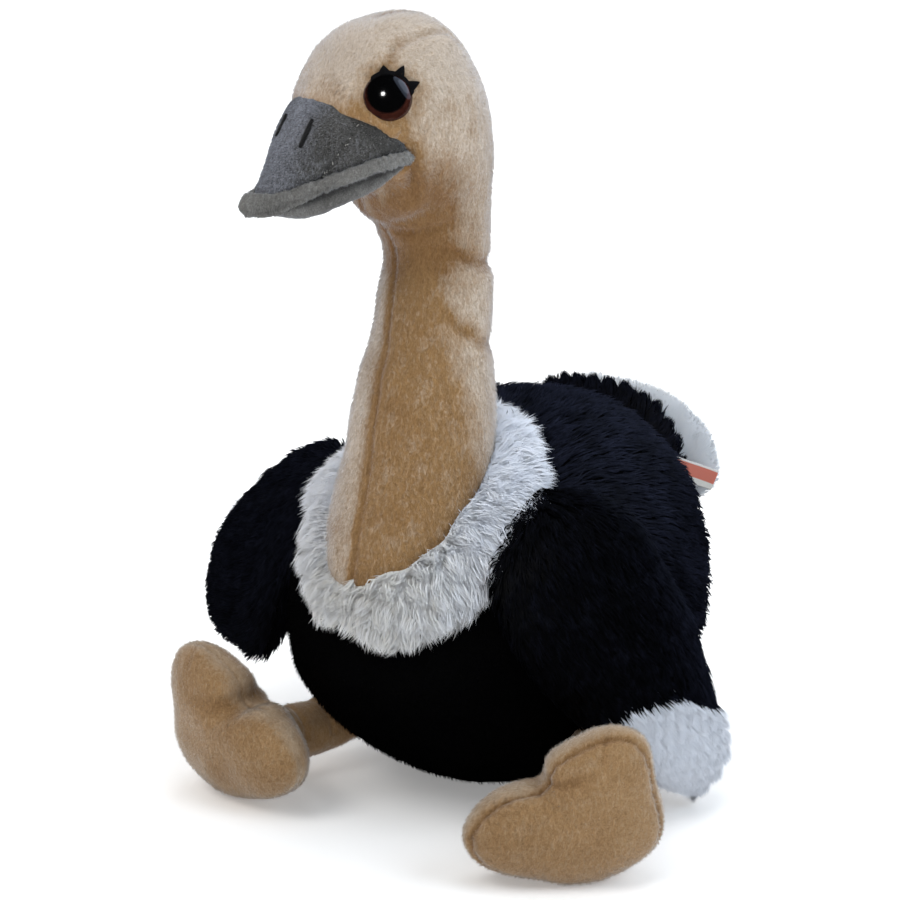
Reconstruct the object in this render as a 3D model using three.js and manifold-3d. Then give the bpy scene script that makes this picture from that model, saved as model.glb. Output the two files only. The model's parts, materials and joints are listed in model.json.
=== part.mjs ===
// A sitting plush ostrich: a stuffed soft toy with a long beige neck, a grey bill, a cream ruff, a black
// body, black wings and tail with white ends, and two padded two-toed feet. It stands still: nothing moves.
// Millimetres, +Z up. The toy faces -Y and its left side is +X. The origin is on the flat patch that the
// body sits on. Outer sizes are those of the fabric with its pile.
import * as THREE from "three";
import { mergeVertices } from "three/addons/utils/BufferGeometryUtils.js";
import Module from "manifold-3d";

const wasm = await Module();
wasm.setup();

// ---- Driving dimensions ----
const GAP = 0.3; // left between two pieces that meet
const FLOOR = 0;

const BODY = { middle: -2, half: 65, front: -85, back: 91 }; // the egg of the trunk, in X and along Y
const HEAD_YAW = 23; // degrees that the head is turned to the toy's right
const HEAD = { x: -4, y: -33, forward: 18, height: 237, long: 33, wide: 29.5, tall: 30 };
const EYE = { radius: 7.4, dome: 5.5, sunk: 2.2, forward: 34, out: 24.3, height: 243.5 };
const RUFF = { at: [-1, -49, 98], across: 43, along: 52, tilt: 41, thick: 16 };
const LEG_RADIUS = 10.5;
const FOOT = { thick: 14, body: 24.5, heel: 5, upperToe: 10.5, innerToe: 13, notch: 8 };
const TAIL = { at: [-4, 80, 90], wide: 44, up: 33, down: 20, thick: 9, lean: 9, rim: 4, ahead: 6 };

// ---- Fabrics and plastics ----
const finish = (color, roughness) => new THREE.MeshStandardMaterial({ color, roughness, metalness: 0 });
const BEIGE_PLUSH = finish(0xd9b988, 0.95);
const TAN_PLUSH = finish(0xc69c6a, 0.95);
const GREY_PLUSH = finish(0x7d7d7c, 0.9);
const BLACK_PLUSH = finish(0x0d0d14, 0.9);
const WHITE_PLUSH = finish(0xe9e9e6, 0.95);
const CREAM_PLUSH = finish(0xece7d8, 0.95);
const BROWN_PLASTIC = finish(0x1c0d0a, 0.1);
const BLACK_FELT = finish(0x0a0a0c, 1);
const RIBBON = finish(0xf2efe9, 0.7);

// ---- Vectors and smooth lines ----
const { degToRad, clamp, lerp } = THREE.MathUtils;
const vector = (values) => new THREE.Vector3(...values);

/** A smooth line through rows of three numbers, as a function of 0 to 1. */
function through(rows) {
  const curve = new THREE.CatmullRomCurve3(rows.map(vector), false, "catmullrom", 0.5);
  return (t) => curve.getPoint(clamp(t, 0, 1));
}

/** 0 at the end of a piece and 1 from `length` on, along a quarter of an ellipse, so that the end is round. */
const rounding = (distance, length) =>
  distance >= length ? 1 : Math.sqrt(Math.max(0, 1 - (1 - distance / length) ** 2));

/** A cosine or a sine raised to `power`: below 1 it pulls a circle towards a square. */
const squared = (value, power) => Math.sign(value) * Math.abs(value) ** power;

// ---- Closed solids ----
/** A manifold-3d solid of a geometry's triangles, turned to face outwards. */
function solidOf(geometry) {
  geometry.deleteAttribute("normal");
  geometry.deleteAttribute("uv");
  const merged = mergeVertices(geometry, 1e-4);
  const vertProperties = new Float32Array(merged.attributes.position.array);
  const triVerts = new Uint32Array(merged.index.array);
  const made = new wasm.Manifold(new wasm.Mesh({ numProp: 3, vertProperties, triVerts }));
  if (made.volume() > 0) return made;
  return new wasm.Manifold(new wasm.Mesh({ numProp: 3, vertProperties, triVerts: triVerts.reverse() }));
}

/** A solid of rings of points, each ring with as many points, with a flat cap at both ends. */
function rings(rows) {
  const sides = rows[0].length;
  const end = (rows.length - 1) * sides;
  const index = [];
  for (let start = 0; start < end; start += sides)
    for (let j = 0; j < sides; j++) {
      const next = (j + 1) % sides;
      index.push(start + j, start + next, start + sides + j);
      index.push(start + next, start + sides + next, start + sides + j);
    }
  for (let j = 1; j < sides - 1; j++) {
    index.push(0, j + 1, j);
    index.push(end, end + j, end + j + 1);
  }
  const positions = rows.flat().flatMap((p) => p.toArray());
  const attribute = new THREE.Float32BufferAttribute(positions, 3);
  return solidOf(new THREE.BufferGeometry().setAttribute("position", attribute).setIndex(index));
}

/**
 * A piece made of ribs. Each rib { from, to, half, side } reaches from one edge line of the piece to the
 * other and is an ellipse, `half` thick to each side along `side`. `caps` are the shares of the length that
 * round off at the start and the end, `box` below 1 makes the ribs squarer, and `grow` thickens it all.
 */
function ribbed({ ribs, sides = 20, steps = 14, caps = [0, 0], box = 1, grow = 0, shape = (p) => p }) {
  const from = through(ribs.map((rib) => rib.from));
  const to = through(ribs.map((rib) => rib.to));
  const half = through(ribs.map((rib) => [rib.half, 0, 0]));
  const side = through(ribs.map((rib) => rib.side));
  const rows = [];
  for (let i = 0; i <= steps; i++) {
    const even = i / steps;
    const eased = (1 - Math.cos(Math.PI * even)) / 2;
    const t = lerp(even, eased, caps[0] && caps[1] ? 0.85 : 0);
    const round = (caps[0] ? rounding(t, caps[0]) : 1) * (caps[1] ? rounding(1 - t, caps[1]) : 1);
    const middle = from(t).add(to(t)).multiplyScalar(0.5);
    const along = to(t).sub(from(t)).multiplyScalar(0.5);
    const reach = along.length() * round + grow;
    const wide = half(t).x * round + grow;
    const across = side(t).normalize();
    along.normalize();
    const ring = [];
    for (let j = 0; j < sides; j++) {
      const angle = (2 * Math.PI * j) / sides;
      const p = middle.clone().addScaledVector(across, wide * squared(Math.cos(angle), box));
      ring.push(shape(p.addScaledVector(along, reach * squared(Math.sin(angle), box))));
    }
    rows.push(ring);
  }
  return rings(rows);
}

/** A pillow: `outline(angle)` is its edge's radius in the plane of `axis` and `side`, `thick` its half height. */
function pillow({ at, axis, side, outline, thick, around, over, grow = 0, shape = (p) => p }) {
  const normal = new THREE.Vector3().crossVectors(axis, side).normalize();
  const rows = [];
  for (let i = 0; i <= over; i++) {
    const turn = (Math.PI * clamp(i, 0.15, over - 0.15)) / over;
    const ring = [];
    for (let j = 0; j < around; j++) {
      const angle = (2 * Math.PI * j) / around;
      const reach = (outline(angle) + grow) * Math.sin(turn) ** 0.8;
      const p = vector(at)
        .addScaledVector(axis, reach * Math.cos(angle))
        .addScaledVector(side, reach * Math.sin(angle));
      ring.push(shape(p.addScaledVector(normal, (thick + grow) * Math.cos(turn))));
    }
    rows.push(ring);
  }
  return rings(rows);
}

const onFloor = (p) => p.setZ(Math.max(p.z, FLOOR));

/** A thin flat blade at `at`, square to `normal`, that parts a solid in two. */
function blade(at, normal, size = 260) {
  const geometry = new THREE.BoxGeometry(size, size, GAP);
  const turn = new THREE.Quaternion().setFromUnitVectors(new THREE.Vector3(0, 0, 1), vector(normal).normalize());
  geometry.applyQuaternion(turn).translate(...at);
  return solidOf(geometry);
}

/** The two parts of a solid to either side of a blade, the one behind the blade's normal first. */
function parted(whole, at, normal) {
  const ahead = (part) => {
    const { min, max } = part.boundingBox();
    return vector(min).add(vector(max)).multiplyScalar(0.5).sub(vector(at)).dot(vector(normal));
  };
  const parts = whole.subtract(blade(at, normal)).decompose();
  const two = parts.sort((a, b) => b.volume() - a.volume()).slice(0, 2);
  return two.sort((a, b) => ahead(a) - ahead(b));
}

const without = (made, ...others) => others.reduce((left, other) => left.subtract(other), made);

// ---- Trunk: an egg that lies along Y, fuller behind, and flat where it sits ----
function trunk(grow = 0) {
  const sections = [
    [0.0, 0.62, 34, 74], [0.1, 0.72, 23, 92], [0.23, 0.87, 9, 112], [0.4, 0.98, -5, 129],
    [0.58, 1.0, -6, 132], [0.75, 0.92, -1, 127], [0.9, 0.72, 14, 114], [1.0, 0.5, 34, 98],
  ]; // share of the length, share of the half width, lowest, highest
  const ribs = sections.map(([share, width, low, high]) => {
    const y = lerp(BODY.front, BODY.back, share);
    return { from: [BODY.middle, y, low], to: [BODY.middle, y, high], half: width * BODY.half, side: [1, 0, 0] };
  });
  return ribbed({ ribs, sides: 22, steps: 14, caps: [0.3, 0.3], box: 0.94, grow, shape: grow ? (p) => p : onFloor });
}

// ---- Neck and head: ribs from the throat line to the nape line, turned more and more to one side ----
/** A rib about the point (x, y): each end is `reach` from it, straight ahead or behind at this yaw. */
function neckRib([x, y, ahead, aheadZ, behind, behindZ, half, yaw]) {
  const [sin, cos] = [Math.sin(degToRad(yaw)), Math.cos(degToRad(yaw))];
  const at = (reach, z) => [x - reach * sin, y - reach * cos, z];
  return { from: at(ahead, aheadZ), to: at(-behind, behindZ), half, side: [cos, -sin, 0] };
}

const NECK_RIBS = [
  [-3, -53.5, 30, 77, 30, 90, 26, 3], [-3.5, -51, 30, 90, 30, 104, 27.5, 4], [-4, -48, 27.5, 106, 27, 112, 27, 5],
  [-4, -43.5, 26, 122, 25.7, 124, 26, 7], [-4, -41, 24.6, 138, 24.6, 140, 24.6, 9],
  [-4, -37.5, 21.5, 154, 21, 155, 21.5, 11], [-4, -35.5, 20, 171, 20, 172, 20, 14],
  [-4, -33.5, 18.5, 186, 18.5, 189, 19, 18],
];
const HEAD_RIBS = [
  [21, 197, 18, 207, 20.5], [26, 203, 18, 223, 24], [31, 208, 14, 241, 27.8], [36, 210, 5.5, 257, 29.5],
  [41, 213, -8, 267, 29], [46, 218, -30, 264.5, 25], [51, 228, -50, 248, 18],
].map(([ahead, aheadZ, behind, behindZ, half]) => [HEAD.x, HEAD.y, ahead, aheadZ, behind, behindZ, half, HEAD_YAW]);

const headAndNeck = (grow = 0) =>
  ribbed({ ribs: [...NECK_RIBS, ...HEAD_RIBS].map(neckRib), sides: 18, steps: 28, caps: [0, 0.075], grow });

const HEAD_AHEAD = vector([-Math.sin(degToRad(HEAD_YAW)), -Math.cos(degToRad(HEAD_YAW)), 0]);
const HEAD_LEFT = vector([Math.cos(degToRad(HEAD_YAW)), -Math.sin(degToRad(HEAD_YAW)), 0]);
const UP = vector([0, 0, 1]);

/** A place on the head: `forward` of its axis, `out` to the toy's left of its middle plane, and up. */
const onHead = (forward, out, z) =>
  vector([HEAD.x, HEAD.y, z]).addScaledVector(HEAD_AHEAD, forward).addScaledVector(HEAD_LEFT, out).toArray();

// ---- Bill: an upper and a lower half, with a rolled lip round the upper one ----
/** A rib across the bill: [forward, lowest, highest, half width]. */
const acrossBill = ([forward, low, high, half]) => ({
  from: onHead(forward, 0, low),
  to: onHead(forward, 0, high),
  half,
  side: HEAD_LEFT.toArray(),
});

function billUpper(grow = 0) {
  const ribs = [
    [22, 218, 231, 24], [28, 217, 235, 27], [36, 216, 242, 26], [44, 214, 243, 21.5],
    [51, 211, 240, 15.5], [58, 209, 230, 10.5], [64, 208, 219, 6.5], [68, 208, 213, 4],
  ].map(acrossBill);
  return ribbed({ ribs, sides: 16, steps: 11, caps: [0.2, 0.1], box: 0.85, grow });
}

function billLower(grow = 0) {
  const ribs = [
    [20, 219, 226, 21], [28, 218, 226, 25.5], [36, 212, 222, 23], [45, 207, 218, 17.5],
    [54, 203.5, 213, 11.5], [62, 204, 210, 7], [68, 205, 208.5, 4],
  ].map(acrossBill);
  return ribbed({ ribs, sides: 16, steps: 12, caps: [0.2, 0.12], box: 0.8, grow });
}

/** The lip runs from one corner of the mouth round the tip to the other. */
function billLip(grow = 0) {
  const oneSide = [
    [26, 26.5, 224.5, 2.6], [36, 25, 223, 2.8], [44, 19.5, 219.5, 2.8], [51, 14, 216, 2.9],
    [58, 9.2, 212.8, 3.1], [65, 5.2, 210.2, 3.6],
  ]; // forward, out, height, half of the roll's height
  const otherSide = oneSide.map(([forward, out, z, half]) => [forward, -out, z, half]).reverse();
  const tip = [70.5, 0, 209.6, 4.2];
  const ribs = [...oneSide, tip, ...otherSide].map(([forward, out, z, half]) => ({
    from: onHead(forward, out, z - half),
    to: onHead(forward, out, z + half),
    half: 0.85 * half,
    side: vector([0, 0, 0]).addScaledVector(HEAD_AHEAD, forward - 30).addScaledVector(HEAD_LEFT, 1.6 * out).toArray(),
  }));
  return ribbed({ ribs, sides: 8, steps: 18, caps: [0.03, 0.03], grow });
}

// ---- Eyes: plastic domes, each on a black felt washer with three lashes ----
/** An eye's frame: X towards the nape, Y up and Z out of the head, square to the egg of the head. */
function eyeFrame(sign) {
  const at = vector(onHead(EYE.forward, sign * EYE.out, EYE.height));
  const offset = at.clone().sub(vector(onHead(HEAD.forward, 0, HEAD.height)));
  const out = new THREE.Vector3()
    .addScaledVector(HEAD_AHEAD, offset.dot(HEAD_AHEAD) / HEAD.long ** 2)
    .addScaledVector(HEAD_LEFT, offset.dot(HEAD_LEFT) / HEAD.wide ** 2)
    .addScaledVector(UP, offset.z / HEAD.tall ** 2)
    .normalize();
  const up = UP.clone().addScaledVector(out, -out.z).normalize();
  return new THREE.Matrix4().makeBasis(new THREE.Vector3().crossVectors(up, out), up, out).setPosition(at);
}

function eye(sign, grow = 0) {
  const geometry = new THREE.SphereGeometry(1, 14, 8);
  geometry.rotateX(Math.PI / 2).scale(EYE.radius + grow, EYE.radius + grow, EYE.dome + grow);
  return solidOf(geometry.translate(0, 0, -EYE.sunk).applyMatrix4(eyeFrame(sign)));
}

function lashes(sign) {
  const washer = EYE.radius + 1;
  const felt = { deep: 4, under: 2.3 }; // so that most of it is under the plush
  const lash = [[25, 11.5], [62, 11.5], [97, 11]]; // degrees above the nape's side, and reach
  const shape = new THREE.Shape();
  const to = (angle, reach) => shape.lineTo(reach * Math.cos(degToRad(angle)), reach * Math.sin(degToRad(angle)));
  shape.absarc(0, 0, washer, degToRad(125), degToRad(360), false);
  for (const [angle, reach] of lash) {
    to(angle - 13, washer);
    to(angle, reach);
    to(angle + 13, washer);
  }
  shape.closePath();
  const geometry = new THREE.ExtrudeGeometry(shape, { depth: felt.deep, bevelEnabled: false, curveSegments: 7 });
  if (sign < 0) geometry.scale(-1, 1, 1);
  const places = geometry.getAttribute("position");
  for (let i = 0; i < places.count; i++) {
    const bend = (places.getX(i) ** 2 + places.getY(i) ** 2) / (2 * HEAD.tall);
    places.setZ(i, places.getZ(i) - bend - felt.under);
  }
  return solidOf(geometry.applyMatrix4(eyeFrame(sign)));
}

// ---- Ruff: a padded ring round the foot of the neck, low in front and high behind ----
/** A pillow tilted over the shoulders: what the trunk and the neck leave of it is the ring. */
function ruff(grow = 0) {
  const tilt = degToRad(RUFF.tilt);
  const side = vector([0, Math.cos(tilt), Math.sin(tilt)]);
  const outline = (angle) => 1 / Math.hypot(Math.cos(angle) / RUFF.across, Math.sin(angle) / RUFF.along);
  return pillow({ at: RUFF.at, axis: vector([1, 0, 0]), side, outline, thick: RUFF.thick, around: 20, over: 8, grow });
}

// ---- Wings: padded flippers from the shoulder. The left one lies on the flank, the right one sticks out ----
const WINGS = {
  left: [
    [[30, -46, 113], [44, -26, 118], 5], [[36, -62, 98], [57, -16, 108], 9], [[42, -69, 82], [68, -8, 88], 11],
    [[52, -66, 62], [76, 0, 66], 12], [[62, -52, 42], [80, 8, 44], 12], [[70, -34, 22], [82, 14, 24], 11],
    [[74, -12, 4], [82, 16, 6], 9],
  ],
  right: [
    [[-44, -36, 100], [-44, -14, 117], 5], [[-56, -46, 72], [-62, -4, 110], 9], [[-71, -43, 37], [-84, 2, 102], 11],
    [[-97, -30, 34], [-101, 8, 88], 12], [[-112, -13, 33], [-118, 17, 78], 12], [[-120, 8, 38], [-124, 29, 70], 10.5],
    [[-126, 30, 44], [-128, 43, 62], 8],
  ],
}; // ribs from the shoulder to the tip: front edge, back edge, half thickness

/** Where a wing's black cloth is sewn to its white tip: a place on the seam, and the way to the tip. */
const WING_SEAMS = {
  left: [[78, -12, 39], [0, -0.2, -0.98]],
  right: [[-117, 6, 56], [-0.45, 0.85, -0.1]],
};

function wing(name, grow = 0) {
  const rows = WINGS[name];
  const middles = rows.map(([front, back]) => vector(front).add(vector(back)).multiplyScalar(0.5));
  const ribs = rows.map(([front, back, half], i) => {
    const along = middles[Math.min(i + 1, rows.length - 1)].clone().sub(middles[Math.max(i - 1, 0)]);
    const side = new THREE.Vector3().crossVectors(along, vector(back).sub(vector(front)));
    return { from: front, to: back, half, side: side.normalize().toArray() };
  });
  return ribbed({ ribs, sides: 16, steps: 14, caps: [0.25, 0.22], grow, shape: grow ? (p) => p : onFloor });
}

// ---- Tail: an upright fan behind the back, black in front and white behind and round the edge ----
function tailFan(rim, ahead, grow = 0) {
  const lean = degToRad(TAIL.lean);
  const side = vector([0, Math.sin(lean), Math.cos(lean)]);
  const at = [TAIL.at[0], TAIL.at[1] - ahead, TAIL.at[2]];
  const outline = (angle) => {
    const tall = Math.sin(angle) > 0 ? TAIL.up : TAIL.down;
    return 1 / Math.hypot(Math.cos(angle) / (TAIL.wide - rim), Math.sin(angle) / (tall - rim));
  };
  return pillow({ at, axis: vector([1, 0, 0]), side, outline, thick: TAIL.thick, around: 20, over: 6, grow });
}
const tailBlack = (grow = 0) => tailFan(TAIL.rim, TAIL.ahead, grow);
const tailWhite = (grow = 0) => tailFan(0, 0, grow);

// ---- Legs and feet ----
/** `yaw` is where a sole faces, `pitch` how far it looks down, and `roll` leans the foot outwards. */
const FEET = {
  left: { at: [80, -79, 22.8], sign: 1, yaw: 40, pitch: 8, roll: 0 },
  right: { at: [-56, -79.5, 23.4], sign: -1, yaw: -15, pitch: 8, roll: 8 },
};
const LEGS = {
  left: [[48, -16, 24], [66, -44, 20], [76, -70, 23]],
  right: [[-34, -16, 24], [-50, -44, 15], [-55, -72, 20]],
};

/** The edge of a sole: a round body with a heel outwards, an upper and an inner toe, and a notch between them. */
function soleEdge(angle) {
  const bump = (at, width) => {
    const away = Math.abs(((THREE.MathUtils.radToDeg(angle) - at + 540) % 360) - 180);
    return Math.exp(-((away / width) ** 2));
  };
  const toes = FOOT.upperToe * bump(60, 30) + FOOT.innerToe * bump(194, 32);
  return FOOT.body + FOOT.heel * bump(345, 35) + toes - FOOT.notch * bump(136, 18);
}

function foot(name, grow = 0) {
  const { at, sign, yaw, pitch, roll } = FEET[name];
  const outwards = vector([sign * Math.cos(degToRad(yaw)), sign * Math.sin(degToRad(yaw)), 0]);
  const ahead = vector([Math.sin(degToRad(yaw)), -Math.cos(degToRad(yaw)), 0]);
  const up = UP.clone().multiplyScalar(Math.cos(degToRad(pitch))).addScaledVector(ahead, Math.sin(degToRad(pitch)));
  const [sin, cos] = [Math.sin(degToRad(roll)), Math.cos(degToRad(roll))];
  const axis = outwards.clone().multiplyScalar(cos).addScaledVector(up, -sin);
  const side = up.clone().multiplyScalar(cos).addScaledVector(outwards, sin);
  const shape = grow ? (p) => p : onFloor;
  return pillow({ at, axis, side, outline: soleEdge, thick: FOOT.thick, around: 22, over: 8, grow, shape });
}

function leg(name, grow = 0) {
  const yaw = degToRad(FEET[name].yaw);
  const ribs = LEGS[name].map(([x, y, z]) => ({
    from: [x, y, z - LEG_RADIUS],
    to: [x, y, z + LEG_RADIUS],
    half: LEG_RADIUS,
    side: [Math.cos(yaw), Math.sin(yaw), 0],
  }));
  return ribbed({ ribs, sides: 12, steps: 6, grow });
}

// ---- Label: a plain ribbon that sticks out of the seam under the tail ----
function label() {
  const geometry = new THREE.BoxGeometry(18, 0.8, 7.5);
  return solidOf(geometry.rotateY(degToRad(22)).rotateZ(degToRad(40)).translate(35, 70, 94));
}

// ---- Assembly: each piece is cut back from its neighbours by the gap ----
const sides = [["left", 1], ["right", -1]];
const trunkRoom = trunk(GAP);
const neckRoom = headAndNeck(GAP);
const ruffRoom = ruff(GAP);
const lipRoom = billLip(GAP);
const lowerRoom = billLower(GAP);
const upperRoom = billUpper(GAP);
const eyeRooms = sides.map(([, sign]) => eye(sign, GAP));
const feetRooms = sides.map(([name]) => foot(name, GAP));

const [neckWhole, headWhole] = parted(headAndNeck(), onHead(0, 0, 199), [-0.1, -0.35, 1]);
const [neckLower, neckUpper] = parted(neckWhole, [-4, -38, 151], [0, 0, 1]);
const pieces = [
  ["trunk", trunk(), BLACK_PLUSH],
  ["neck_lower", without(neckLower, trunkRoom), BEIGE_PLUSH],
  ["neck_upper", neckUpper, BEIGE_PLUSH],
  ["head", without(headWhole, upperRoom, lowerRoom, lipRoom, ...eyeRooms), BEIGE_PLUSH],
  ["bill_upper", without(billUpper(), lowerRoom, lipRoom, ...eyeRooms), GREY_PLUSH],
  ["bill_lip", billLip(), GREY_PLUSH],
  ["bill_lower", without(billLower(), lipRoom), GREY_PLUSH],
  ["ruff", without(ruff(), trunkRoom, neckRoom), CREAM_PLUSH],
  ["tail", without(tailBlack(), trunkRoom), BLACK_PLUSH],
  ["tail_tip", without(tailWhite(), trunkRoom, tailBlack(GAP)), WHITE_PLUSH],
  ["label", without(label(), trunkRoom, tailWhite(GAP), tailBlack(GAP)), RIBBON],
];
for (const [name, sign] of sides) {
  const whole = without(wing(name), trunkRoom, ruffRoom, leg(name, GAP), ...feetRooms);
  const [black, white] = parted(whole, ...WING_SEAMS[name]);
  pieces.push(
    [`eye_${name}`, eye(sign), BROWN_PLASTIC],
    [`lashes_${name}`, without(lashes(sign), neckRoom, ...eyeRooms, upperRoom), BLACK_FELT],
    [`wing_${name}`, black, BLACK_PLUSH],
    [`wing_tip_${name}`, white, WHITE_PLUSH],
    [`leg_${name}`, without(leg(name), trunkRoom, ...feetRooms), TAN_PLUSH],
    [`foot_${name}`, foot(name), TAN_PLUSH],
  );
}

/** The biggest body of a solid, as a mesh: cutting a piece at its neighbours can leave crumbs. */
function mesh(name, made, material) {
  const body = made.decompose().sort((a, b) => b.volume() - a.volume())[0];
  const { numProp, vertProperties, triVerts } = body.getMesh();
  const count = vertProperties.length / numProp;
  const positions = new Float32Array(count * 3);
  for (let i = 0; i < count; i++) positions.set(vertProperties.subarray(i * numProp, i * numProp + 3), i * 3);
  const geometry = new THREE.BufferGeometry()
    .setAttribute("position", new THREE.BufferAttribute(positions, 3))
    .setIndex(new THREE.BufferAttribute(triVerts, 1));
  geometry.computeVertexNormals();
  const result = new THREE.Mesh(geometry, material);
  result.name = name;
  return result;
}

const toy = new THREE.Group();
for (const [name, made, material] of pieces) toy.add(mesh(name, made, material));

export default toy;
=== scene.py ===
# %% [markdown]
# # A plush ostrich in Blender
# A stuffed ostrich sits on a pale floor, with its head turned to one side. It is sewn from seven kinds of
# pile fabric: short beige plush for the head and neck, short tan plush for the legs and feet, grey velour
# for the bill, short and long black pile for the body and wings, long white pile for their ends, and a
# fluffy cream ruff.
#
# Every fabric piece is made twice. First comes the skin, a smooth closed surface that carries the seams,
# the folds and the dents of the stuffing. Then comes the pile, thousands of thin tufts that are rooted in
# the skin. A particle system could grow the pile, but particles are lost when a model leaves Blender, so
# the tufts here are ordinary faces. All shapes are worked out in millimetres, and turned into metres when
# a mesh is made.

import json
import math

import bpy
import numpy as np
from mathutils import Matrix, Vector
from mathutils.kdtree import KDTree

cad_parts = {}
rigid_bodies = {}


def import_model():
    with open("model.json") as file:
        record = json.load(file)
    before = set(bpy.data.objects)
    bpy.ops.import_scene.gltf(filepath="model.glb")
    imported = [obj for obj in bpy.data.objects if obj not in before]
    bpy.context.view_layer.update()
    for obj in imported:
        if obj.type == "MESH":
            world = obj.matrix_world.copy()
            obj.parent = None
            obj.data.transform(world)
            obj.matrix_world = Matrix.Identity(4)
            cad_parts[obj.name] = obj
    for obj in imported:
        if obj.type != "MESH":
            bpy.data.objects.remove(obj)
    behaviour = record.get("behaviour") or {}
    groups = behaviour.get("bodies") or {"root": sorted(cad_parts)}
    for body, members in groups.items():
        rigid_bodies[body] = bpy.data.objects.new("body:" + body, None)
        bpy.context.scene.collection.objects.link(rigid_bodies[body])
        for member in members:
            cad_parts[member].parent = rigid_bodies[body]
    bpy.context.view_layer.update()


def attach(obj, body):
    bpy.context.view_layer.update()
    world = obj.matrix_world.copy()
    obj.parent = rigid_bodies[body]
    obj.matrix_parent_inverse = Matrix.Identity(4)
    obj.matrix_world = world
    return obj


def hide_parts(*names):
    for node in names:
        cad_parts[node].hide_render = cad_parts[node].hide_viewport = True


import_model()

# %% [markdown]
# ## Lines, bells and lumps
# Every shape below is a sum of a few simple curves: a smooth line through some places, a bell for a dent or
# a swelling, a soft step from one state to another, and slow lumps for the stuffing. They could be painted
# with sculpting brushes, but as formulas they take whole arrays at once and can be tuned by a number.

# %% Curves that take whole arrays
METRE = 0.001  # one millimetre


def unit(vectors):
    """Vectors divided by their own lengths."""
    return vectors / np.maximum(np.linalg.norm(vectors, axis=-1, keepdims=True), 1e-12)


def along(rows, share):
    """A smooth line through rows of numbers, at shares of 0 to 1. Between two rows it is the cubic
    (2 b + (c - a) s + (2 a - 5 b + 4 c - d) s^2 + (3 b - a - 3 c + d) s^3) / 2 of their neighbours."""
    rows = np.asarray(rows, float)
    rows = np.vstack([2 * rows[0] - rows[1], rows, 2 * rows[-1] - rows[-2]])
    place = np.clip(share, 0, 1) * (len(rows) - 3)
    first = np.minimum(place.astype(int), len(rows) - 4)
    s = (place - first)[..., None]
    a, b, c, d = (rows[first + number] for number in range(4))
    return (2 * b + (c - a) * s + (2 * a - 5 * b + 4 * c - d) * s**2 + (3 * b - a - 3 * c + d) * s**3) / 2


def rounding(distance, length):
    """A quarter of an ellipse that rises from 0 at the end of a piece to 1 at `length` from it."""
    if not length:
        return np.ones_like(distance)
    return np.sqrt(1 - (1 - np.clip(distance / length, 0, 1)) ** 2)


def squared(value, power):
    """A cosine or sine raised to a power, keeping its sign: below 1 it makes a circle squarer."""
    return np.sign(value) * np.abs(value) ** power


def bump(value, centre, width):
    """A bell of height 1 at `centre`: e to the minus square of the distance over `width`."""
    return np.exp(-(((value - centre) / width) ** 2))


def step(value, low, high):
    """0 below `low`, 1 above `high`, and 3 s^2 - 2 s^3 between them."""
    s = np.clip((value - low) / (high - low), 0, 1)
    return s * s * (3 - 2 * s)


def lumps(points, size, seed):
    """A smooth uneven value of about -1 to 1: the mean of 14 sines in random directions, about `size` mm
    long, times 2.2."""
    rng = np.random.default_rng(seed)
    waves = unit(rng.normal(size=(14, 3))) * 2 * math.pi / size * rng.uniform(0.7, 1.4, (14, 1))
    return np.sin(points @ waves.T + rng.uniform(0, 2 * math.pi, 14)).mean(-1) * 2.2


print("a smooth line through 0, 1, 0 at a quarter:", along([[0], [1], [0]], np.array([0.25]))[0])

# %% [markdown]
# ## Two kinds of bag
# Stuffed toys are made of a few kinds of closed bags. A long one, such as a neck, a wing or a body, is a
# stack of ribs: each rib is an ellipse, and smooth lines run from rib to rib. A flat one, such as a sole or
# a tail fan, is a pillow: an outline that swells in the middle. Subdivision surfaces on a box would do too,
# but a formula gives every point a place along and around the piece, which the seams, the pile and the
# unwrap use.

# %% A skin on a grid of rings
class Skin:
    """A closed surface as a grid of rings, in millimetres. `points` is (rings, sides, 3). The rings run
    the length of the piece, and each is a loop. `unwrap` is each point's share round and share along."""

    def __init__(self, points):
        self.points = points
        rings, sides = points.shape[:2]
        self.unwrap = np.stack(np.meshgrid(np.arange(sides) / sides, np.linspace(0, 1, rings)), -1)
        self.length = np.gradient(points, axis=0)
        normals = np.cross(np.roll(points, -1, 1) - np.roll(points, 1, 1), self.length)
        self.flipped = (normals * (points - points.mean(1, keepdims=True))).sum() < 0
        normals = unit(-normals if self.flipped else normals)
        normals[0], normals[-1] = normals[1], normals[-2]
        self.normals = unit(normals)

    def raised(self, height):
        """The same surface moved out along its normals, by a number or by one number for each point."""
        return Skin(self.points + self.normals * np.broadcast_to(height, self.points.shape[:2])[..., None])


print("a skin keeps its points, normals and unwrap")

# %% Ribs and pillows
POLE = 0.004  # the first ring's share of the way from pole to pole, so that it never shrinks to a point
CAP_END = 5e-5  # the same for a bag on ribs


def spread(count, ends):
    """Shares of 0 to 1, drawn closer together towards each end that is a round cap."""
    even = np.linspace(0, 1, count)
    if all(ends):
        even = (1 - np.cos(math.pi * even)) / 2
    elif ends[1]:
        even = np.sin(math.pi / 2 * even)
    return np.clip(even, CAP_END, 1 - CAP_END)


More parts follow.
